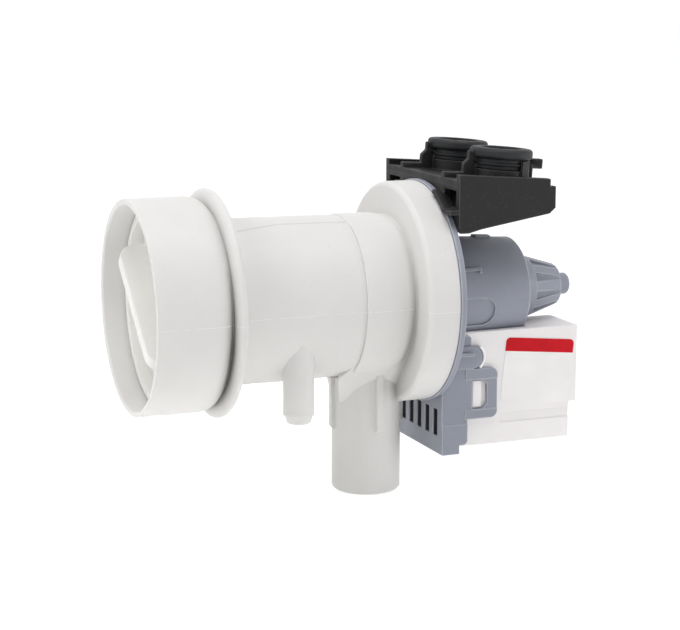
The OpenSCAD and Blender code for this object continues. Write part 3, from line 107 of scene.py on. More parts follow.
class Nodes:
    """A material's node tree with short calls for the nodes used here."""

    def __init__(self, name):
        self.material = bpy.data.materials.new(name)
        self.material.use_nodes = True
        self.tree = self.material.node_tree
        self.bsdf = self.tree.nodes["Principled BSDF"]
        self.place = self.tree.nodes.new("ShaderNodeTexCoord").outputs["Object"]

    def link(self, output, socket):
        self.tree.links.new(output, socket)

    def noise(self, scale, detail=3, rough=0.55):
        n = self.tree.nodes.new("ShaderNodeTexNoise")
        n.inputs["Scale"].default_value = scale
        n.inputs["Detail"].default_value = detail
        n.inputs["Roughness"].default_value = rough
        self.link(self.place, n.inputs["Vector"])
        return n.outputs["Fac"]

    def ramp(self, value, low, high, bottom=0.0, top=1.0):
        n = self.tree.nodes.new("ShaderNodeMapRange")
        n.inputs["From Min"].default_value = low
        n.inputs["From Max"].default_value = high
        n.inputs["To Min"].default_value = bottom
        n.inputs["To Max"].default_value = top
        self.link(value, n.inputs["Value"])
        return n.outputs["Result"]

    def mix(self, factor, a, b):
        """Colour a where factor is 0 and b where it is 1; a may be an output."""
        n = self.tree.nodes.new("ShaderNodeMix")
        n.data_type = "RGBA"
        self.link(factor, n.inputs["Factor"])
        for socket, value in ((n.inputs[6], a), (n.inputs[7], b)):
            if isinstance(value, tuple):
                socket.default_value = value
            else:
                self.link(value, socket)
        return n.outputs[2]

    def times(self, a, b):
        n = self.tree.nodes.new("ShaderNodeMath")
        n.operation = "MULTIPLY"
        self.link(a, n.inputs[0])
        if isinstance(b, float):
            n.inputs[1].default_value = b
        else:
            self.link(b, n.inputs[1])
        return n.outputs["Value"]

    def crevice(self, distance, open_share=0.85, deep_share=0.35):
        """1 deep in a crevice, 0 in the open."""
        n = self.tree.nodes.new("ShaderNodeAmbientOcclusion")
        n.samples = 6
        n.only_local = True
        n.inputs["Distance"].default_value = distance
        return self.ramp(n.outputs["AO"], open_share, deep_share)

    def edge(self, radius):
        """1 on sharp edges, 0 on flat surfaces."""
        bevel = self.tree.nodes.new("ShaderNodeBevel")
        bevel.samples = 4
        bevel.inputs["Radius"].default_value = radius
        face = self.tree.nodes.new("ShaderNodeNewGeometry")
        dot = self.tree.nodes.new("ShaderNodeVectorMath")
        dot.operation = "DOT_PRODUCT"
        self.link(bevel.outputs["Normal"], dot.inputs[0])
        self.link(face.outputs["Normal"], dot.inputs[1])
        return self.ramp(dot.outputs["Value"], 0.995, 0.90)

    def bump(self, height, depth, strength=1.0):
        n = self.tree.nodes.new("ShaderNodeBump")
        n.inputs["Strength"].default_value = strength
        n.inputs["Distance"].default_value = depth
        self.link(height, n.inputs["Height"])
        self.link(n.outputs["Normal"], self.bsdf.inputs["Normal"])

    def finish(self, colour, rough, specular=0.5):
        self.link(colour, self.bsdf.inputs["Base Color"])
        self.link(rough, self.bsdf.inputs["Roughness"])
        self.bsdf.inputs["Specular IOR Level"].default_value = specular
        return self.material


# Materials

def groove_shade(m):
    """Mask of painted shade: 1 low in the groove before the bead and in the corner before the disc, fading
    out above them.
    """
    split = m.tree.nodes.new("ShaderNodeSeparateXYZ")
    m.link(m.place, split.inputs["Vector"])
    x = split.outputs["X"]
    groove = m.times(m.ramp(x, 0.0180, 0.0225), m.ramp(x, 0.0295, 0.0284))
    corner = m.times(m.ramp(x, 0.0890, 0.0915), m.ramp(x, 0.0935, 0.0930, 0.0, 0.55))
    both = m.tree.nodes.new("ShaderNodeMath")
    m.link(groove, both.inputs[0])
    m.link(corner, both.inputs[1])
    low = m.times(m.ramp(split.outputs["Z"], 0.019, -0.010), m.ramp(split.outputs["Z"], -0.038, -0.022, 0.3))
    return m.times(both.outputs["Value"], low)


def white_plastic(name, base, dirt_and_shade, specks=0.10, crease_shade=0.2, groove=False):
    m = Nodes(name)
    colour = m.mix(m.ramp(m.noise(38, 5), 0.35, 0.7), base, shade(base, 0.955))
    colour = m.mix(m.ramp(m.noise(420, 2), 0.66, 0.74, 0, 0.03), colour, dirt_and_shade)
    colour = m.mix(m.ramp(m.noise(760, 1), 0.755, 0.775, 0, specks), colour, dirt_and_shade)
    # painted shade: darker in creases and corners, from ambient occlusion
    colour = m.mix(m.times(m.crevice(0.004), crease_shade), colour, dirt_and_shade)
    if groove:
        # painted shade low in the groove before the bead and in the corner before the disc
        colour = m.mix(m.times(m.crevice(0.025, 1.0, 0.2), groove_shade(m)), colour, shade(dirt_and_shade, 0.7))
    m.bump(m.noise(2600, 2), 0.00002, 0.5)
    m.bsdf.inputs["Subsurface Weight"].default_value = 0.12
    m.bsdf.inputs["Subsurface Radius"].default_value = (1.0, 0.95, 0.85)
    m.bsdf.inputs["Subsurface Scale"].default_value = 0.0008
    return m.finish(colour, m.ramp(m.noise(160, 3), 0.3, 0.7, 0.40, 0.52), 0.40)


def grained_plastic(name, base, edge_colour, edge_highlight_and_wear, rough, grain, depth, specular):
    m = Nodes(name)
    colour = m.mix(m.ramp(m.noise(55, 5), 0.35, 0.7), base, shade(base, 0.92))
    colour = m.mix(m.ramp(m.noise(900, 2), 0.60, 0.75, 0, 0.07), colour, edge_colour)
    # lighter on sharp edges: partly a painted edge highlight, partly edge wear
    colour = m.mix(m.times(m.edge(0.0006), edge_highlight_and_wear), colour, edge_colour)
    # painted shade: darker in crevices, from ambient occlusion
    colour = m.mix(m.times(m.crevice(0.004), 0.45), colour, shade(base, 0.45))
    m.bump(m.noise(grain, 3), depth)
    return m.finish(colour, m.ramp(m.noise(210, 3), 0.3, 0.7, rough - 0.05, rough + 0.07), specular)


def soft_rubber(name, base):
    m = Nodes(name)
    colour = m.mix(m.ramp(m.noise(70, 5), 0.35, 0.75), base, shade(base, 1.7))
    colour = m.mix(m.ramp(m.noise(1400, 2), 0.62, 0.72, 0, 0.08), colour, srgb(110, 110, 112))
    m.bump(m.noise(1900, 3), 0.00003)
    return m.finish(colour, m.ramp(m.noise(300, 3), 0.3, 0.7, 0.50, 0.66), 0.35)


def metal(name, base, rough, streaks):
    m = Nodes(name)
    stretch = m.tree.nodes.new("ShaderNodeMapping")
    stretch.inputs["Scale"].default_value = streaks
    m.link(m.place, stretch.inputs["Vector"])
    m.place = stretch.outputs["Vector"]
    colour = m.mix(m.ramp(m.noise(900, 4), 0.3, 0.7), base, shade(base, 0.80))
    m.bsdf.inputs["Metallic"].default_value = 1
    m.bump(m.noise(2400, 3), 0.00001, 0.6)
    return m.finish(colour, m.ramp(m.noise(700, 3), 0.3, 0.7, rough - 0.06, rough + 0.08))


def label_film(name):
    """White film with a plain red band along its top edge, slanted with the label."""
    m = Nodes(name)
    tilt = math.radians(LABEL_TILT)
    up = Vector((math.sin(tilt), 0, math.cos(tilt)))
    band_foot = Vector((LABEL_X, 0, LABEL_Z)).dot(up) + LABEL_HALF_H - RED_BAND
    along = m.tree.nodes.new("ShaderNodeVectorMath")
    along.operation = "DOT_PRODUCT"
    along.inputs[1].default_value = up
    m.link(m.place, along.inputs[0])
    film = m.mix(m.ramp(m.noise(60, 4), 0.35, 0.7), srgb(250, 249, 248), srgb(241, 240, 239))
    red = m.mix(m.ramp(m.noise(240, 4), 0.35, 0.7), srgb(208, 8, 28), srgb(194, 6, 24))
    band = m.ramp(along.outputs["Value"], (band_foot - 0.05) * MM, (band_foot + 0.05) * MM)
    m.bump(m.noise(500, 3), 0.00002, 0.5)
    return m.finish(m.mix(band, film, red), m.ramp(m.noise(130, 3), 0.3, 0.7, 0.38, 0.50), 0.18)


# Colour of the white plastics' dirt and specks, and of their painted shade in creases and the groove
DIRT_AND_SHADE = srgb(132, 130, 120)
looks = {
    "housing_white": white_plastic("housing_plastic", srgb(226, 225, 223), DIRT_AND_SHADE, crease_shade=0.15, groove=True),
    "filter_white": white_plastic("filter_plastic", srgb(240, 239, 236), DIRT_AND_SHADE),
    "cover_white": white_plastic("cover_plastic", srgb(247, 244, 244), DIRT_AND_SHADE, 0.05),
    "tube_plastic": white_plastic("tube_plastic", srgb(205, 205, 202), DIRT_AND_SHADE),
    "washer_plastic": white_plastic("washer_plastic", srgb(226, 216, 190), DIRT_AND_SHADE),
    "motor_grey": grained_plastic("motor_plastic", srgb(148, 152, 164), srgb(204, 208, 215), 0.85, 0.46,
                                  1500, 0.00003, 0.4),
    "bracket_black": grained_plastic("bracket_plastic", srgb(25, 24, 25), srgb(112, 111, 112), 0.5, 0.50,
                                     1700, 0.00003, 0.28),
    "impeller_plastic": grained_plastic("impeller_plastic", srgb(66, 70, 76), srgb(118, 122, 128), 0.4, 0.45,
                                        1500, 0.00003, 0.4),
    "rotor_plastic": grained_plastic("rotor_plastic", srgb(52, 56, 72), srgb(104, 108, 122), 0.4, 0.45,
                                     1500, 0.00003, 0.4),
    "cutout_plastic": grained_plastic("cutout_plastic", srgb(58, 53, 48), srgb(110, 104, 96), 0.4, 0.5,
                                      1500, 0.00003, 0.4),
    "magnet_ferrite": grained_plastic("magnet_ferrite", srgb(50, 50, 53), srgb(104, 104, 108), 0.5, 0.55,
                                      2600, 0.00005, 0.4),
    "bush_carbon": grained_plastic("bush_carbon", srgb(58, 58, 59), srgb(100, 100, 101), 0.4, 0.5,
                                   2600, 0.00003, 0.4),
    "bobbin_plastic": grained_plastic("bobbin_plastic", srgb(24, 24, 26), srgb(60, 60, 62), 0.3, 0.5,
                                      1500, 0.00003, 0.4),
    "seal_rubber": soft_rubber("seal_rubber", srgb(30, 30, 31)),
    "grommet_rubber": soft_rubber("grommet_rubber", srgb(27, 28, 30)),
    "shaft_steel": metal("shaft_steel", srgb(205, 206, 210), 0.28, (0.05, 1, 1)),
    "core_steel": metal("core_steel", srgb(170, 171, 174), 0.42, (6, 0.1, 0.1)),
    "terminal_brass": metal("terminal_metal", srgb(214, 208, 184), 0.32, (0.1, 1, 1)),
    "winding_copper": metal("winding_copper", srgb(196, 118, 66), 0.34, (0.05, 0.05, 7)),
    "label_white": label_film("label_film"),
}
# The parting-line ridge, painted lighter than the housing: a painted highlight along it
seam_highlight_look = white_plastic("seam_highlight_plastic", srgb(237, 236, 234), DIRT_AND_SHADE, 0.05, 0.1)
# Pure white for the cover's rim round the lug: a painted highlight on its edge
crescent_highlight_look = white_plastic("crescent_highlight_plastic", srgb(254, 254, 254), DIRT_AND_SHADE, 0.05, 0.0)
# Darker plastic for the lines along the barrel strips' edges: painted shade of their steps
step_shade_look = white_plastic("step_shade_plastic", srgb(211, 210, 207), DIRT_AND_SHADE, 0.05, 0.1)
# Lighter grey for a ring on the can's rear edge: a painted highlight
rim_highlight_look = grained_plastic("rim_highlight_plastic", srgb(178, 182, 190), srgb(196, 200, 207), 0.3, 0.42,
                           1500, 0.00002, 0.4)
# Near-black plugs for the vent slots: painted shade
slot_shade_look = grained_plastic("slot_shade", srgb(9, 9, 10), srgb(24, 24, 26), 0.2, 0.7, 1500, 0.00002, 0.1)


# Pieces

def add_piece(name, mesh, body, slot, look=None):
    piece = bpy.data.objects.new(name, mesh)
    bpy.context.scene.collection.objects.link(piece)
    mesh.materials.clear()
    mesh.materials.append(look or looks[slot])
    mesh.shade_smooth()
    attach(piece, body)
    return piece


def edge_room(edge):
    """Distance from an edge's middle to the nearest edge across its faces."""
    middle = (edge.verts[0].co + edge.verts[1].co) / 2
    room = 1.0
    for face in edge.link_faces:
        for other in face.edges:
            a, b = other.verts
            if a in edge.verts or b in edge.verts:
                continue
            point, share = intersect_point_line(middle, a.co, b.co)
            if share < 0:
                point = a.co
            elif share > 1:
                point = b.co
            room = min(room, (middle - point).length)
    return room


def side_room(edge):
    """Shortest reach, square to an edge, of the edges that leave its two ends."""
    room = 1.0
    for vert in edge.verts:
        along = (edge.other_vert(vert).co - vert.co).normalized()
        for other in vert.link_edges:
            away = other.other_vert(vert).co - vert.co
            square = (away - along * away.dot(along)).length
            if square > 0.35 * away.length:
                room = min(room, square)
    return room


def draw_in_hose_stop(bm, x, y, z, radius):
    """Blends a hose stop's low step into its spigot."""
    for vert in bm.verts:
        out = Vector((vert.co.x - x * MM, vert.co.y - y * MM))
        if abs(vert.co.z - z * MM) < 0.02 * MM and radius < out.length / MM < radius + 0.5:
            out *= radius * MM / out.length
            vert.co.x = x * MM + out.x
            vert.co.y = y * MM + out.y


def ease_volute_top(bm):
    """Lets the volute's step run out over the top of the barrel."""
    for vert in bm.verts:
        x, radius = vert.co.x / MM, math.hypot(vert.co.y, vert.co.z) / MM
        if vert.co.z < 0 or radius < BODY_R1 - 0.8 or not VOLUTE_X0 - 0.01 < x < DISC_X0 - 0.2:
            continue
        turn = math.degrees(abs(math.atan2(vert.co.y, vert.co.z)))
        share = min(1, max(0, (34 - turn) / 18))
        drop = (VOLUTE_R - BODY_R1) * share * share * (3 - 2 * share)
        eased = max(radius - drop, min(radius, VOLUTE_R - VOLUTE_CROWN)) / radius
        vert.co.y *= eased
        vert.co.z *= eased


def even_out(bm, weight):
    """Gives each run of rounded edges the least weight found along it."""
    done = set()
    for start in bm.edges:
        if start in done or not start[weight]:
            continue
        run, waiting = {start}, [start]
        while waiting:
            edge = waiting.pop()
            for vert in edge.verts:
                rounded = [other for other in vert.link_edges if other[weight]]
                if len(rounded) == 2:
                    waiting += [other for other in rounded if other not in run]
                    run.update(rounded)
        least = min(edge[weight] for edge in run)
        for edge in run:
            edge[weight] = least
        done |= run


def torn_corners(piece, width, reach):
    """Corners of a piece, within that reach, at which its rounded edges overshoot or fold over."""
    plain = piece.data
    surface = BVHTree.FromPolygons([v.co for v in plain.vertices], [list(p.vertices) for p in plain.polygons])
    corners = KDTree(len(plain.vertices))
    for vert in plain.vertices:
        corners.insert(vert.co, vert.index)
    corners.balance()
    evaluated = piece.evaluated_get(bpy.context.evaluated_depsgraph_get())
    rounded = evaluated.to_mesh()
    astray = [surface.find_nearest(v.co)[3] > 0.7 * width * MM for v in rounded.vertices]
    rounded.calc_loop_triangles()
    torn = set()
    for face in rounded.loop_triangles:
        centre = sum((rounded.vertices[i].co for i in face.vertices), Vector()) / 3
        folded = face.area > (0.02 * MM) ** 2 and surface.find_nearest(centre)[1].dot(face.normal) < 0.3
        if folded or any(astray[i] for i in face.vertices):
            for i in face.vertices:
                torn.add(corners.find(rounded.vertices[i].co)[1])
                torn.update(found[1] for found in corners.find_range(rounded.vertices[i].co, reach * MM))
    evaluated.to_mesh_clear()
    return torn


def softened(node, width, steps=2):
    """Stands for a CAD node: its welded mesh, with rounded edges of up to that width in millimetres."""
    bm = bmesh.new()
    bm.from_mesh(nodes[node].data)
    bmesh.ops.remove_doubles(bm, verts=bm.verts, dist=0.003 * MM)
    for owner, x, y, z, radius in HOSE_STOPS:
        if owner == node:
            draw_in_hose_stop(bm, x, y, z, radius)
    if node == "housing_volute":
        ease_volute_top(bm)
    bmesh.ops.dissolve_degenerate(bm, dist=0.005 * MM, edges=bm.edges)
    bmesh.ops.dissolve_limit(bm, angle_limit=math.radians(0.1), verts=bm.verts, edges=bm.edges)
    bm.edges.index_update()
    weight = bm.edges.layers.float.new("bevel_weight_edge")
    bends = []
    for edge in bm.edges:
        if len(edge.link_faces) == 2 and edge.calc_face_angle(0) > math.radians(30):
            bends.append(edge.index)
            share = 0.42 * min(edge_room(edge), side_room(edge)) / (width * MM)
            edge[weight] = min(1, share) if share > 0.2 else 0
    even_out(bm, weight)
    mesh = bpy.data.meshes.new(node + "_moulded")
    bm.to_mesh(mesh)
    bm.free()
    piece = add_piece(node + "_moulded", mesh, body_of_node[node], slot_of_node[node])
    bevel = piece.modifiers.new("edges", "BEVEL")
    bevel.limit_method = "WEIGHT"
    bevel.width = width * MM
    bevel.segments = steps
    bevel.use_clamp_overlap = False
    bevel.loop_slide = False
    share = mesh.attributes["bevel_weight_edge"].data
    for reach in (0, 0, 0.3, 0.6):
        torn = torn_corners(piece, width, reach)
        if not torn:
            break
        for edge in mesh.edges:
            if torn.intersection(edge.vertices):
                share[edge.index].value = 0
        mesh.update_tag()
    for index in bends:
        mesh.edges[index].use_edge_sharp = share[index].value == 0
    normals = piece.modifiers.new("normals", "WEIGHTED_NORMAL")
    normals.keep_sharp = True
    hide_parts(node)
    return piece


SOFT_EDGES = {
    "housing_collar": 0.45, "housing_chamber": 0.45, "housing_volute": 0.45, "filter_knob": 0.5,
    "filter_basket": 0.25, "motor_flange": 0.3, "stator_frame": 0.25, "stator_cover": 0.5,
    "mounting_bracket": 0.4, "grommet_near": 0.5, "grommet_far": 0.5, "impeller": 0.3,
    "spade_terminals": 0.12, "rotor_magnet": 0.3, "rotor_sleeve": 0.2, "drive_dog": 0.2,
    "filter_seal": 0.8, "flange_seal": 0.6,
}
for node_name, edge_width in SOFT_EDGES.items():
    softened(node_name, edge_width)
for node_name, node_object in nodes.items():
    if node_name not in SOFT_EDGES:
        node_object.data.materials.clear()
        node_object.data.materials.append(looks[slot_of_node[node_name]])


# Parting line of the housing

def arc_points(cx, cr, half_x, half_r, start, end, count):
    """Points (x, radius) of an oval arc in a half section, angles from +X towards the outside."""
    turn = [math.radians(start + (end - start) * i / count) for i in range(count + 1)]
    return [(cx + half_x * math.cos(a), cr + half_r * math.sin(a)) for a in turn]


def straight(x0, r0, x1, r1, step=1.4):
    count = max(1, round(abs(x1 - x0) / step))
    return [(x0 + (x1 - x0) * i / count, r0 + (r1 - r0) * i / count) for i in range(count + 1)]


def crown_points():
    start = DISC_X0 - CROWN_LEN
    return [(start + CROWN_LEN * i / 8, VOLUTE_R - VOLUTE_CROWN * (i / 8) ** 3) for i in range(1, 8)]


def seam_runs():
    return {
        "collar": straight(1.2, COLLAR_R, COLLAR_LEN - COLLAR_ROUND, COLLAR_R)
        + arc_points(COLLAR_LEN - COLLAR_ROUND, GROOVE_R, COLLAR_ROUND, COLLAR_R - GROOVE_R, 80, 15, 7),
        "bead": arc_points(BEAD_X1 - BEAD_REAR, GROOVE_R, BEAD_X1 - BEAD_REAR - BEAD_X0, BEAD_R - GROOVE_R,
                           165, 90, 7)
        + arc_points(BEAD_X1 - BEAD_REAR, BEAD_R - BEAD_REAR, BEAD_REAR, BEAD_REAR, 80, 5, 6),
        "chamber": straight(BEAD_X1 + 0.3, BODY_R0, VOLUTE_X0 - 0.2, BODY_R1),
        "volute": straight(VOLUTE_X0 + 0.3, VOLUTE_R, DISC_X0 - CROWN_LEN, VOLUTE_R) + crown_points(),
        "disc": arc_points(DISC_X0 + DISC_EDGE, DISC_R - DISC_EDGE, DISC_EDGE, DISC_EDGE, 170, 90, 6)
        + straight(DISC_X0 + DISC_EDGE + 1, DISC_R, DISC_X1 - 0.3, DISC_R),
    }


def seam_mesh(name, runs, side, seed):
    """Low ridge along a parting line, uneven as mould flash is."""
    chance = random.Random(seed)
    bm = bmesh.new()
    for run in runs.values():
        rows = []
        for x, r in run:
            height = max(-0.03, chance.uniform(-0.06, 0.13))
            half = chance.uniform(0.12, 0.24)
            drift = chance.uniform(-0.06, 0.06)
            row = []
            for dz, dr in ((-half, -0.03), (0, height), (half, -0.03)):
                z = SEAM_Z + drift + dz
                y = side * math.sqrt((r + dr) ** 2 - z * z)
                row.append(bm.verts.new((x * MM, y * MM, z * MM)))
            rows.append(row)
        for a, b in zip(rows, rows[1:]):
            for i in (0, 1):
                bm.faces.new((a[i], b[i], b[i + 1], a[i + 1]))
    bmesh.ops.recalc_face_normals(bm, faces=bm.faces)
    mesh = bpy.data.meshes.new(name)
    bm.to_mesh(mesh)
    bm.free()
    return mesh


near_runs = seam_runs()
far_runs = {key: run for key, run in near_runs.items() if key != "chamber"}
# The ridges carry a painted highlight: their plastic is lighter than the housing's
add_piece("seam_near", seam_mesh("seam_near", near_runs, -1, 11), "housing", "housing_white", seam_highlight_look)
add_piece("seam_far", seam_mesh("seam_far", far_runs, 1, 12), "housing", "housing_white", seam_highlight_look)


# Small moulded details

def add_prism(name, corners, depth, slot, soft=0.25, look=None):
    """Flat piece of the housing body: an outline in millimetres carried along a depth, edges rounded."""
    bm = bmesh.new()
    front = [bm.verts.new(Vector(c) * MM) for c in corners]
    rear = [bm.verts.new((Vector(c) + Vector(depth)) * MM) for c in corners]
    bm.faces.new(front)
    bm.faces.new(rear)
    for i in range(len(front)):
        bm.faces.new((front[i - 1], front[i], rear[i], rear[i - 1]))
    bmesh.ops.recalc_face_normals(bm, faces=bm.faces)
    mesh = bpy.data.meshes.new(name)
    bm.to_mesh(mesh)
    bm.free()
    piece = add_piece(name, mesh, "housing", slot, look)
    bevel = piece.modifiers.new("edges", "BEVEL")
    bevel.width = soft * MM
    bevel.segments = 2
    bevel.angle_limit = math.radians(40)
    piece.modifiers.new("normals", "WEIGHTED_NORMAL")


def on_deck(x, z):
    """Part station (x, z) of a station on the bracket's pitched deck."""
    turn = math.radians(BRACKET_PITCH)
    return (FLANGE_X1 + x * math.cos(turn) + z * math.sin(turn),
            BRACKET_TOP - x * math.sin(turn) + z * math.cos(turn))


def add_lug(name, side):
    """Round-ended boss beside the motor flange, its small fin and the cover's rim round it, the rim painted
    brighter than the cover as a highlight.
    """
    cx, cz, radius = 116.6, -21.55, 4.05
    front, back = -side * (FRAME_Y + 0.9), -side * (COVER_Y - 0.1)
    end = arc_points(cx, cz, radius, radius, -90, 90, 16)
    boss = [(FLANGE_X1 + 0.2, cz - radius)] + end + [(FLANGE_X1 + 0.2, cz + radius)]
    add_prism("lug_boss_" + name, [(x, front, z) for x, z in boss], (0, side * 1.1, 0), "motor_grey", 0.45)
    inner = arc_points(cx, cz, radius + 0.3, radius + 0.3, -50, 50, 14)
    outer = arc_points(cx, cz, radius + 1.3, radius + 1.3, 50, -50, 14)
    rim = [(x, front + side * 0.1, z) for x, z in inner + outer]
    add_prism("lug_rim_" + name, rim, (0, back - front - side * 0.1, 0), "cover_white", 0.3, crescent_highlight_look)
    fin = ((107, -20.9), (116.8, -20.9), (117.2, -20.3), (116.2, -19.6), (107, -19.6))
    fin = [(x, front - side * 1.2, z) for x, z in fin]
    add_prism("lug_fin_" + name, fin, (0, side * 1.4, 0), "motor_grey")


def add_fin_corner(name, side):
    """The fin's corner under the grommet's rim."""
    corner = ((10.0, 4.4), (12.6, 4.4), (12.6, 5.9), (11.2, 6.3), (10.4, 7.4), (10.0, 7.4))
    placed = [on_deck(x, z) for x, z in corner]
    add_prism("fin_corner_" + name, [(x, -side * (FIN_Y + 0.9), z) for x, z in placed], (0, side * 1.8, 0),
              "bracket_black")


for side_name, side_sign in (("near", 1), ("far", -1)):
    add_lug(side_name, side_sign)
    add_fin_corner(side_name, side_sign)
cross_rib = [
    (CROSS_RIB_X, -CROSS_RIB_HALF_W, CROSS_RIB_FOOT), (CROSS_RIB_X, -CROSS_RIB_HALF_W, CROSS_RIB_TOP),
    (CROSS_RIB_X, CROSS_RIB_HALF_W, CROSS_RIB_TOP), (CROSS_RIB_X, CROSS_RIB_HALF_W, CROSS_RIB_FOOT),
]
add_prism("bracket_rib", cross_rib, (CROSS_RIB_T, 0, 0), "bracket_black")
# Dark plugs set back in the vent slots: painted shade, so the slots read black
vent_x = FLANGE_X1 + 0.45
for slot_number in range(VENT_COUNT):
    slot_y = (slot_number - 2) * VENT_PITCH + VENT_SHIFT
    slot_corners = [
        (vent_x, slot_y - VENT_HALF_W, VENT_FOOT), (vent_x, slot_y + VENT_HALF_W, VENT_FOOT),
        (vent_x, slot_y + VENT_HALF_W, VENT_TOP), (vent_x, slot_y - VENT_HALF_W, VENT_TOP),
    ]
    add_prism(f"vent_shade_{slot_number}", slot_corners, (1, 0, 0), "bobbin_plastic", 0.05, slot_shade_look)
lobe_wing = ((76.0, -17.6, -21.1), (73.8, -18.05, -20.5), (72.0, -15.3, -24.2), (70.1, -14.0, -25.9),
             (70.15, -12.8, -27.5), (71.5, -9.3, -32.2), (72.9, -5.9, -36.7), (75.1, -6.35, -36.1),
             (76.2, -11.1, -29.75))
lobe_wing = [(x, y - 0.05, z - 0.04) for x, y, z in lobe_wing]
add_prism("lobe_wing", lobe_wing, (0, 1.2, 0.9), "housing_white", 0.3)


def add_band(name, rings, slot, look=None):
    """Thin skin through rings of points in millimetres, each with the same count."""
    bm = bmesh.new()
    rows = [[bm.verts.new(Vector(point) * MM) for point in ring] for ring in rings]
    for a, b in zip(rows, rows[1:]):
        for i in range(len(a)):
            bm.faces.new((a[i - 1], a[i], b[i], b[i - 1]))
    bmesh.ops.recalc_face_normals(bm, faces=bm.faces)
    mesh = bpy.data.meshes.new(name)
    bm.to_mesh(mesh)
    bm.free()
    add_piece(name, mesh, "housing", slot, look)


def add_rim(name, profile, drop, node, look, count=180):
    """Narrow skin round an axis that far under X, kept where that node's own edge lies just under it."""
    mesh = nodes[node].data
    surface = BVHTree.FromPolygons([v.co for v in mesh.vertices], [list(p.vertices) for p in mesh.polygons])
    bm = bmesh.new()
    columns = []
    for y, z in circle(1, count):
        points = [Vector((x, r * y, r * z - drop)) * MM for x, r in profile]
        near = all(surface.find_nearest(point)[3] < 0.3 * MM for point in points)
        columns.append(([bm.verts.new(point) for point in points], near))
    for (a, a_near), (b, b_near) in zip(columns, columns[1:] + columns[:1]):
        if a_near and b_near:
            for i in range(len(profile) - 1):
                bm.faces.new((a[i], b[i], b[i + 1], a[i + 1]))
    bmesh.ops.delete(bm, geom=[v for v in bm.verts if not v.link_faces], context="VERTS")
    bmesh.ops.recalc_face_normals(bm, faces=bm.faces)
    skin = bpy.data.meshes.new(name)
    bm.to_mesh(skin)
    bm.free()
    add_piece(name, skin, body_of_node[node], slot_of_node[node], look)


def circle(radius, count):
    turns = [math.tau * i / count for i in range(count)]
    return [(radius * math.cos(a), radius * math.sin(a)) for a in turns]


def panel_edge(x):
    """Half width of the flat strips along the barrel's top and foot."""
    share = min(1, (x - BEAD_X1) / (PANEL_FLARE_X - BEAD_X1))
    return (PANEL_FLARE_W + (PANEL_W - PANEL_FLARE_W) * share) / 2


def panel_shade_line(side, height):
    """Closed outline rings, one per station, of the fine line of painted shade along a strip's edge."""
    rings = []
    for x, radius in straight(BEAD_X1 + 0.4, BODY_R0, VOLUTE_X0 - 0.4, BODY_R1):
        ring = []
        for across, out in ((-0.75, -0.35), (-0.6, -0.1), (0.0, 0.05), (0.25, 0.02), (0.3, -0.35)):
            y = panel_edge(x) + across
            ring.append((x, side * y, height * math.sqrt((radius + out) ** 2 - y * y)))
        rings.append(ring)
    return rings


# The straight end of the nozzle, the can's rear edge painted bright as a highlight, and lines of painted
# shade along the barrel's strips
nozzle_end = ((5.1, -34.6), (5.24, -34.9), (5.24, -36.0), (5.12, -36.25), (4.6, -36.3))
nozzle_rings = [[(NOZZLE_X + x, NOZZLE_Y + y, z) for x, y in circle(r, 48)] for r, z in nozzle_end]
add_band("nozzle_band", nozzle_rings, "housing_white")
can_end = (
    (CAN_X1 - CAN_EDGE - 0.1, CAN_R - 0.1), (CAN_X1 - CAN_EDGE, CAN_R + 0.08),
    (CAN_X1 + 0.05, CAN_R - CAN_EDGE), (CAN_X1 - 0.1, CAN_R - CAN_EDGE - 0.1),
)
# painted highlight round the can's rear edge
add_rim("can_rim_highlight", can_end, CAN_DROP, "motor_flange", rim_highlight_look)
# Lines of painted shade along the edges of the barrel's top and foot strips
PANEL_SHADE_LINES = (("top_near", -1, 1), ("top_far", 1, 1), ("foot_near", -1, -1), ("foot_far", 1, -1))
for line_name, side_sign, height_sign in PANEL_SHADE_LINES:
    add_band("panel_shade_line_" + line_name, panel_shade_line(side_sign, height_sign), "housing_white", step_shade_look)


# Floor, light and camera

def seen_or_reflected(tree):
    """1 for camera, reflected and transmitted rays, 0 for the light that falls on the object."""
    path = tree.nodes.new("ShaderNodeLightPath")
    kinds = [path.outputs[kind] for kind in ("Is Camera Ray", "Is Glossy Ray", "Is Transmission Ray")]
    value = kinds[0]
    for other in kinds[1:]:
        either = tree.nodes.new("ShaderNodeMath")
        either.operation = "MAXIMUM"
        tree.links.new(value, either.inputs[0])
        tree.links.new(other, either.inputs[1])
        value = either.outputs["Value"]
    return value


def floor_material():
    """Pale floor that keeps the shadow and reads white to the camera and to reflections."""
    material = bpy.data.materials.new("floor")
    material.use_nodes = True
    tree = material.node_tree
    tree.nodes.clear()
    pale = tree.nodes.new("ShaderNodeBsdfDiffuse")
    pale.inputs["Color"].default_value = (0.95, 0.95, 0.95, 1)
    shadowed = tree.nodes.new("ShaderNodeBsdfDiffuse")
    shadowed.inputs["Color"].default_value = (0.4, 0.4, 0.4, 1)
    glow = tree.nodes.new("ShaderNodeEmission")
    glow.inputs["Strength"].default_value = 0.82
    bright = tree.nodes.new("ShaderNodeAddShader")
    tree.links.new(shadowed.outputs["BSDF"], bright.inputs[0])
    tree.links.new(glow.outputs["Emission"], bright.inputs[1])
    mix = tree.nodes.new("ShaderNodeMixShader")
    tree.links.new(seen_or_reflected(tree), mix.inputs["Fac"])
    tree.links.new(pale.outputs["BSDF"], mix.inputs[1])
    tree.links.new(bright.outputs["Shader"], mix.inputs[2])
    out = tree.nodes.new("ShaderNodeOutputMaterial")
    tree.links.new(mix.outputs["Shader"], out.inputs["Surface"])
    return material


def add_floor(z):
    bm = bmesh.new()
    bmesh.ops.create_grid(bm, x_segments=1, y_segments=1, size=8)
    mesh = bpy.data.meshes.new("floor")
    bm.to_mesh(mesh)
    bm.free()
    mesh.materials.append(floor_material())
    floor = bpy.data.objects.new("floor", mesh)
    floor.location.z = z
    bpy.context.scene.collection.objects.link(floor)


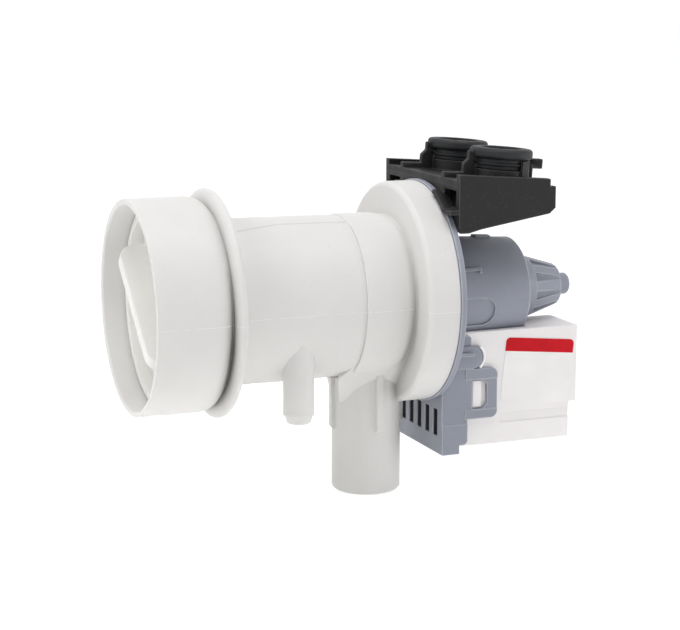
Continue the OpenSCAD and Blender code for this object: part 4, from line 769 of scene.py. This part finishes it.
def set_world(front, back):
    """White light, stronger from behind the object than from the front; plain white to the camera."""
    world = bpy.data.worlds.new("studio")
    bpy.context.scene.world = world
    world.use_nodes = True
    tree = world.node_tree
    way = tree.nodes.new("ShaderNodeTexCoord")
    split = tree.nodes.new("ShaderNodeSeparateXYZ")
    tree.links.new(way.outputs["Generated"], split.inputs["Vector"])
    spread = tree.nodes.new("ShaderNodeMapRange")
    spread.inputs["From Min"].default_value = -1
    spread.inputs["To Min"].default_value = front
    spread.inputs["To Max"].default_value = back
    tree.links.new(split.outputs["Y"], spread.inputs["Value"])
    level = tree.nodes.new("ShaderNodeMapRange")
    level.inputs["To Max"].default_value = 1
    tree.links.new(spread.outputs["Result"], level.inputs["To Min"])
    tree.links.new(seen_or_reflected(tree), level.inputs["Value"])
    sky = tree.nodes["Background"]
    sky.inputs["Color"].default_value = (1, 1, 1, 1)
    tree.links.new(level.outputs["Result"], sky.inputs["Strength"])


def add_area(name, place, target, size, watts, tint=(1, 1, 1)):
    lamp = bpy.data.lights.new(name, "AREA")
    lamp.shape = "DISK"
    lamp.size = size
    lamp.energy = watts
    lamp.color = tint
    holder = bpy.data.objects.new(name, lamp)
    holder.location = place
    holder.rotation_euler = (Vector(target) - Vector(place)).to_track_quat("-Z", "Y").to_euler()
    holder.visible_camera = False
    bpy.context.scene.collection.objects.link(holder)


def add_camera(target, azimuth, elevation, distance, lens):
    camera = bpy.data.cameras.new("camera")
    camera.lens = lens
    camera.sensor_width = 36
    camera.clip_start = 0.01
    holder = bpy.data.objects.new("camera", camera)
    a, e = math.radians(azimuth), math.radians(elevation)
    back = Vector((math.sin(a) * math.cos(e), -math.cos(a) * math.cos(e), math.sin(e)))
    holder.location = Vector(target) + back * distance
    holder.rotation_euler = back.to_track_quat("Z", "Y").to_euler()
    bpy.context.scene.collection.objects.link(holder)
    bpy.context.scene.camera = holder


middle = (0.080, 0.0, -0.005)
add_floor(cad_box[0][2] - 0.0002)
set_world(0.20, 0.80)
add_area("top", (0.04, -0.25, 0.88), middle, 0.7, 4.3, (1, 0.985, 1))
add_area("table", (0.08, 0.05, cad_box[0][2]), (0.08, 0.05, 1), 0.8, 0.26, (0.99, 1, 0.95))
add_area("mouth", (-0.62, -0.15, 0.45), middle, 0.4, 1.8)
add_area("side", (0.78, -0.46, 0.02), middle, 0.45, 1.6)
add_camera((0.07539, 0.0, -0.00719), -21.33, 10.33, 0.6524, 1886.6 * 36 / 680)
bpy.context.scene.view_settings.view_transform = "Standard"
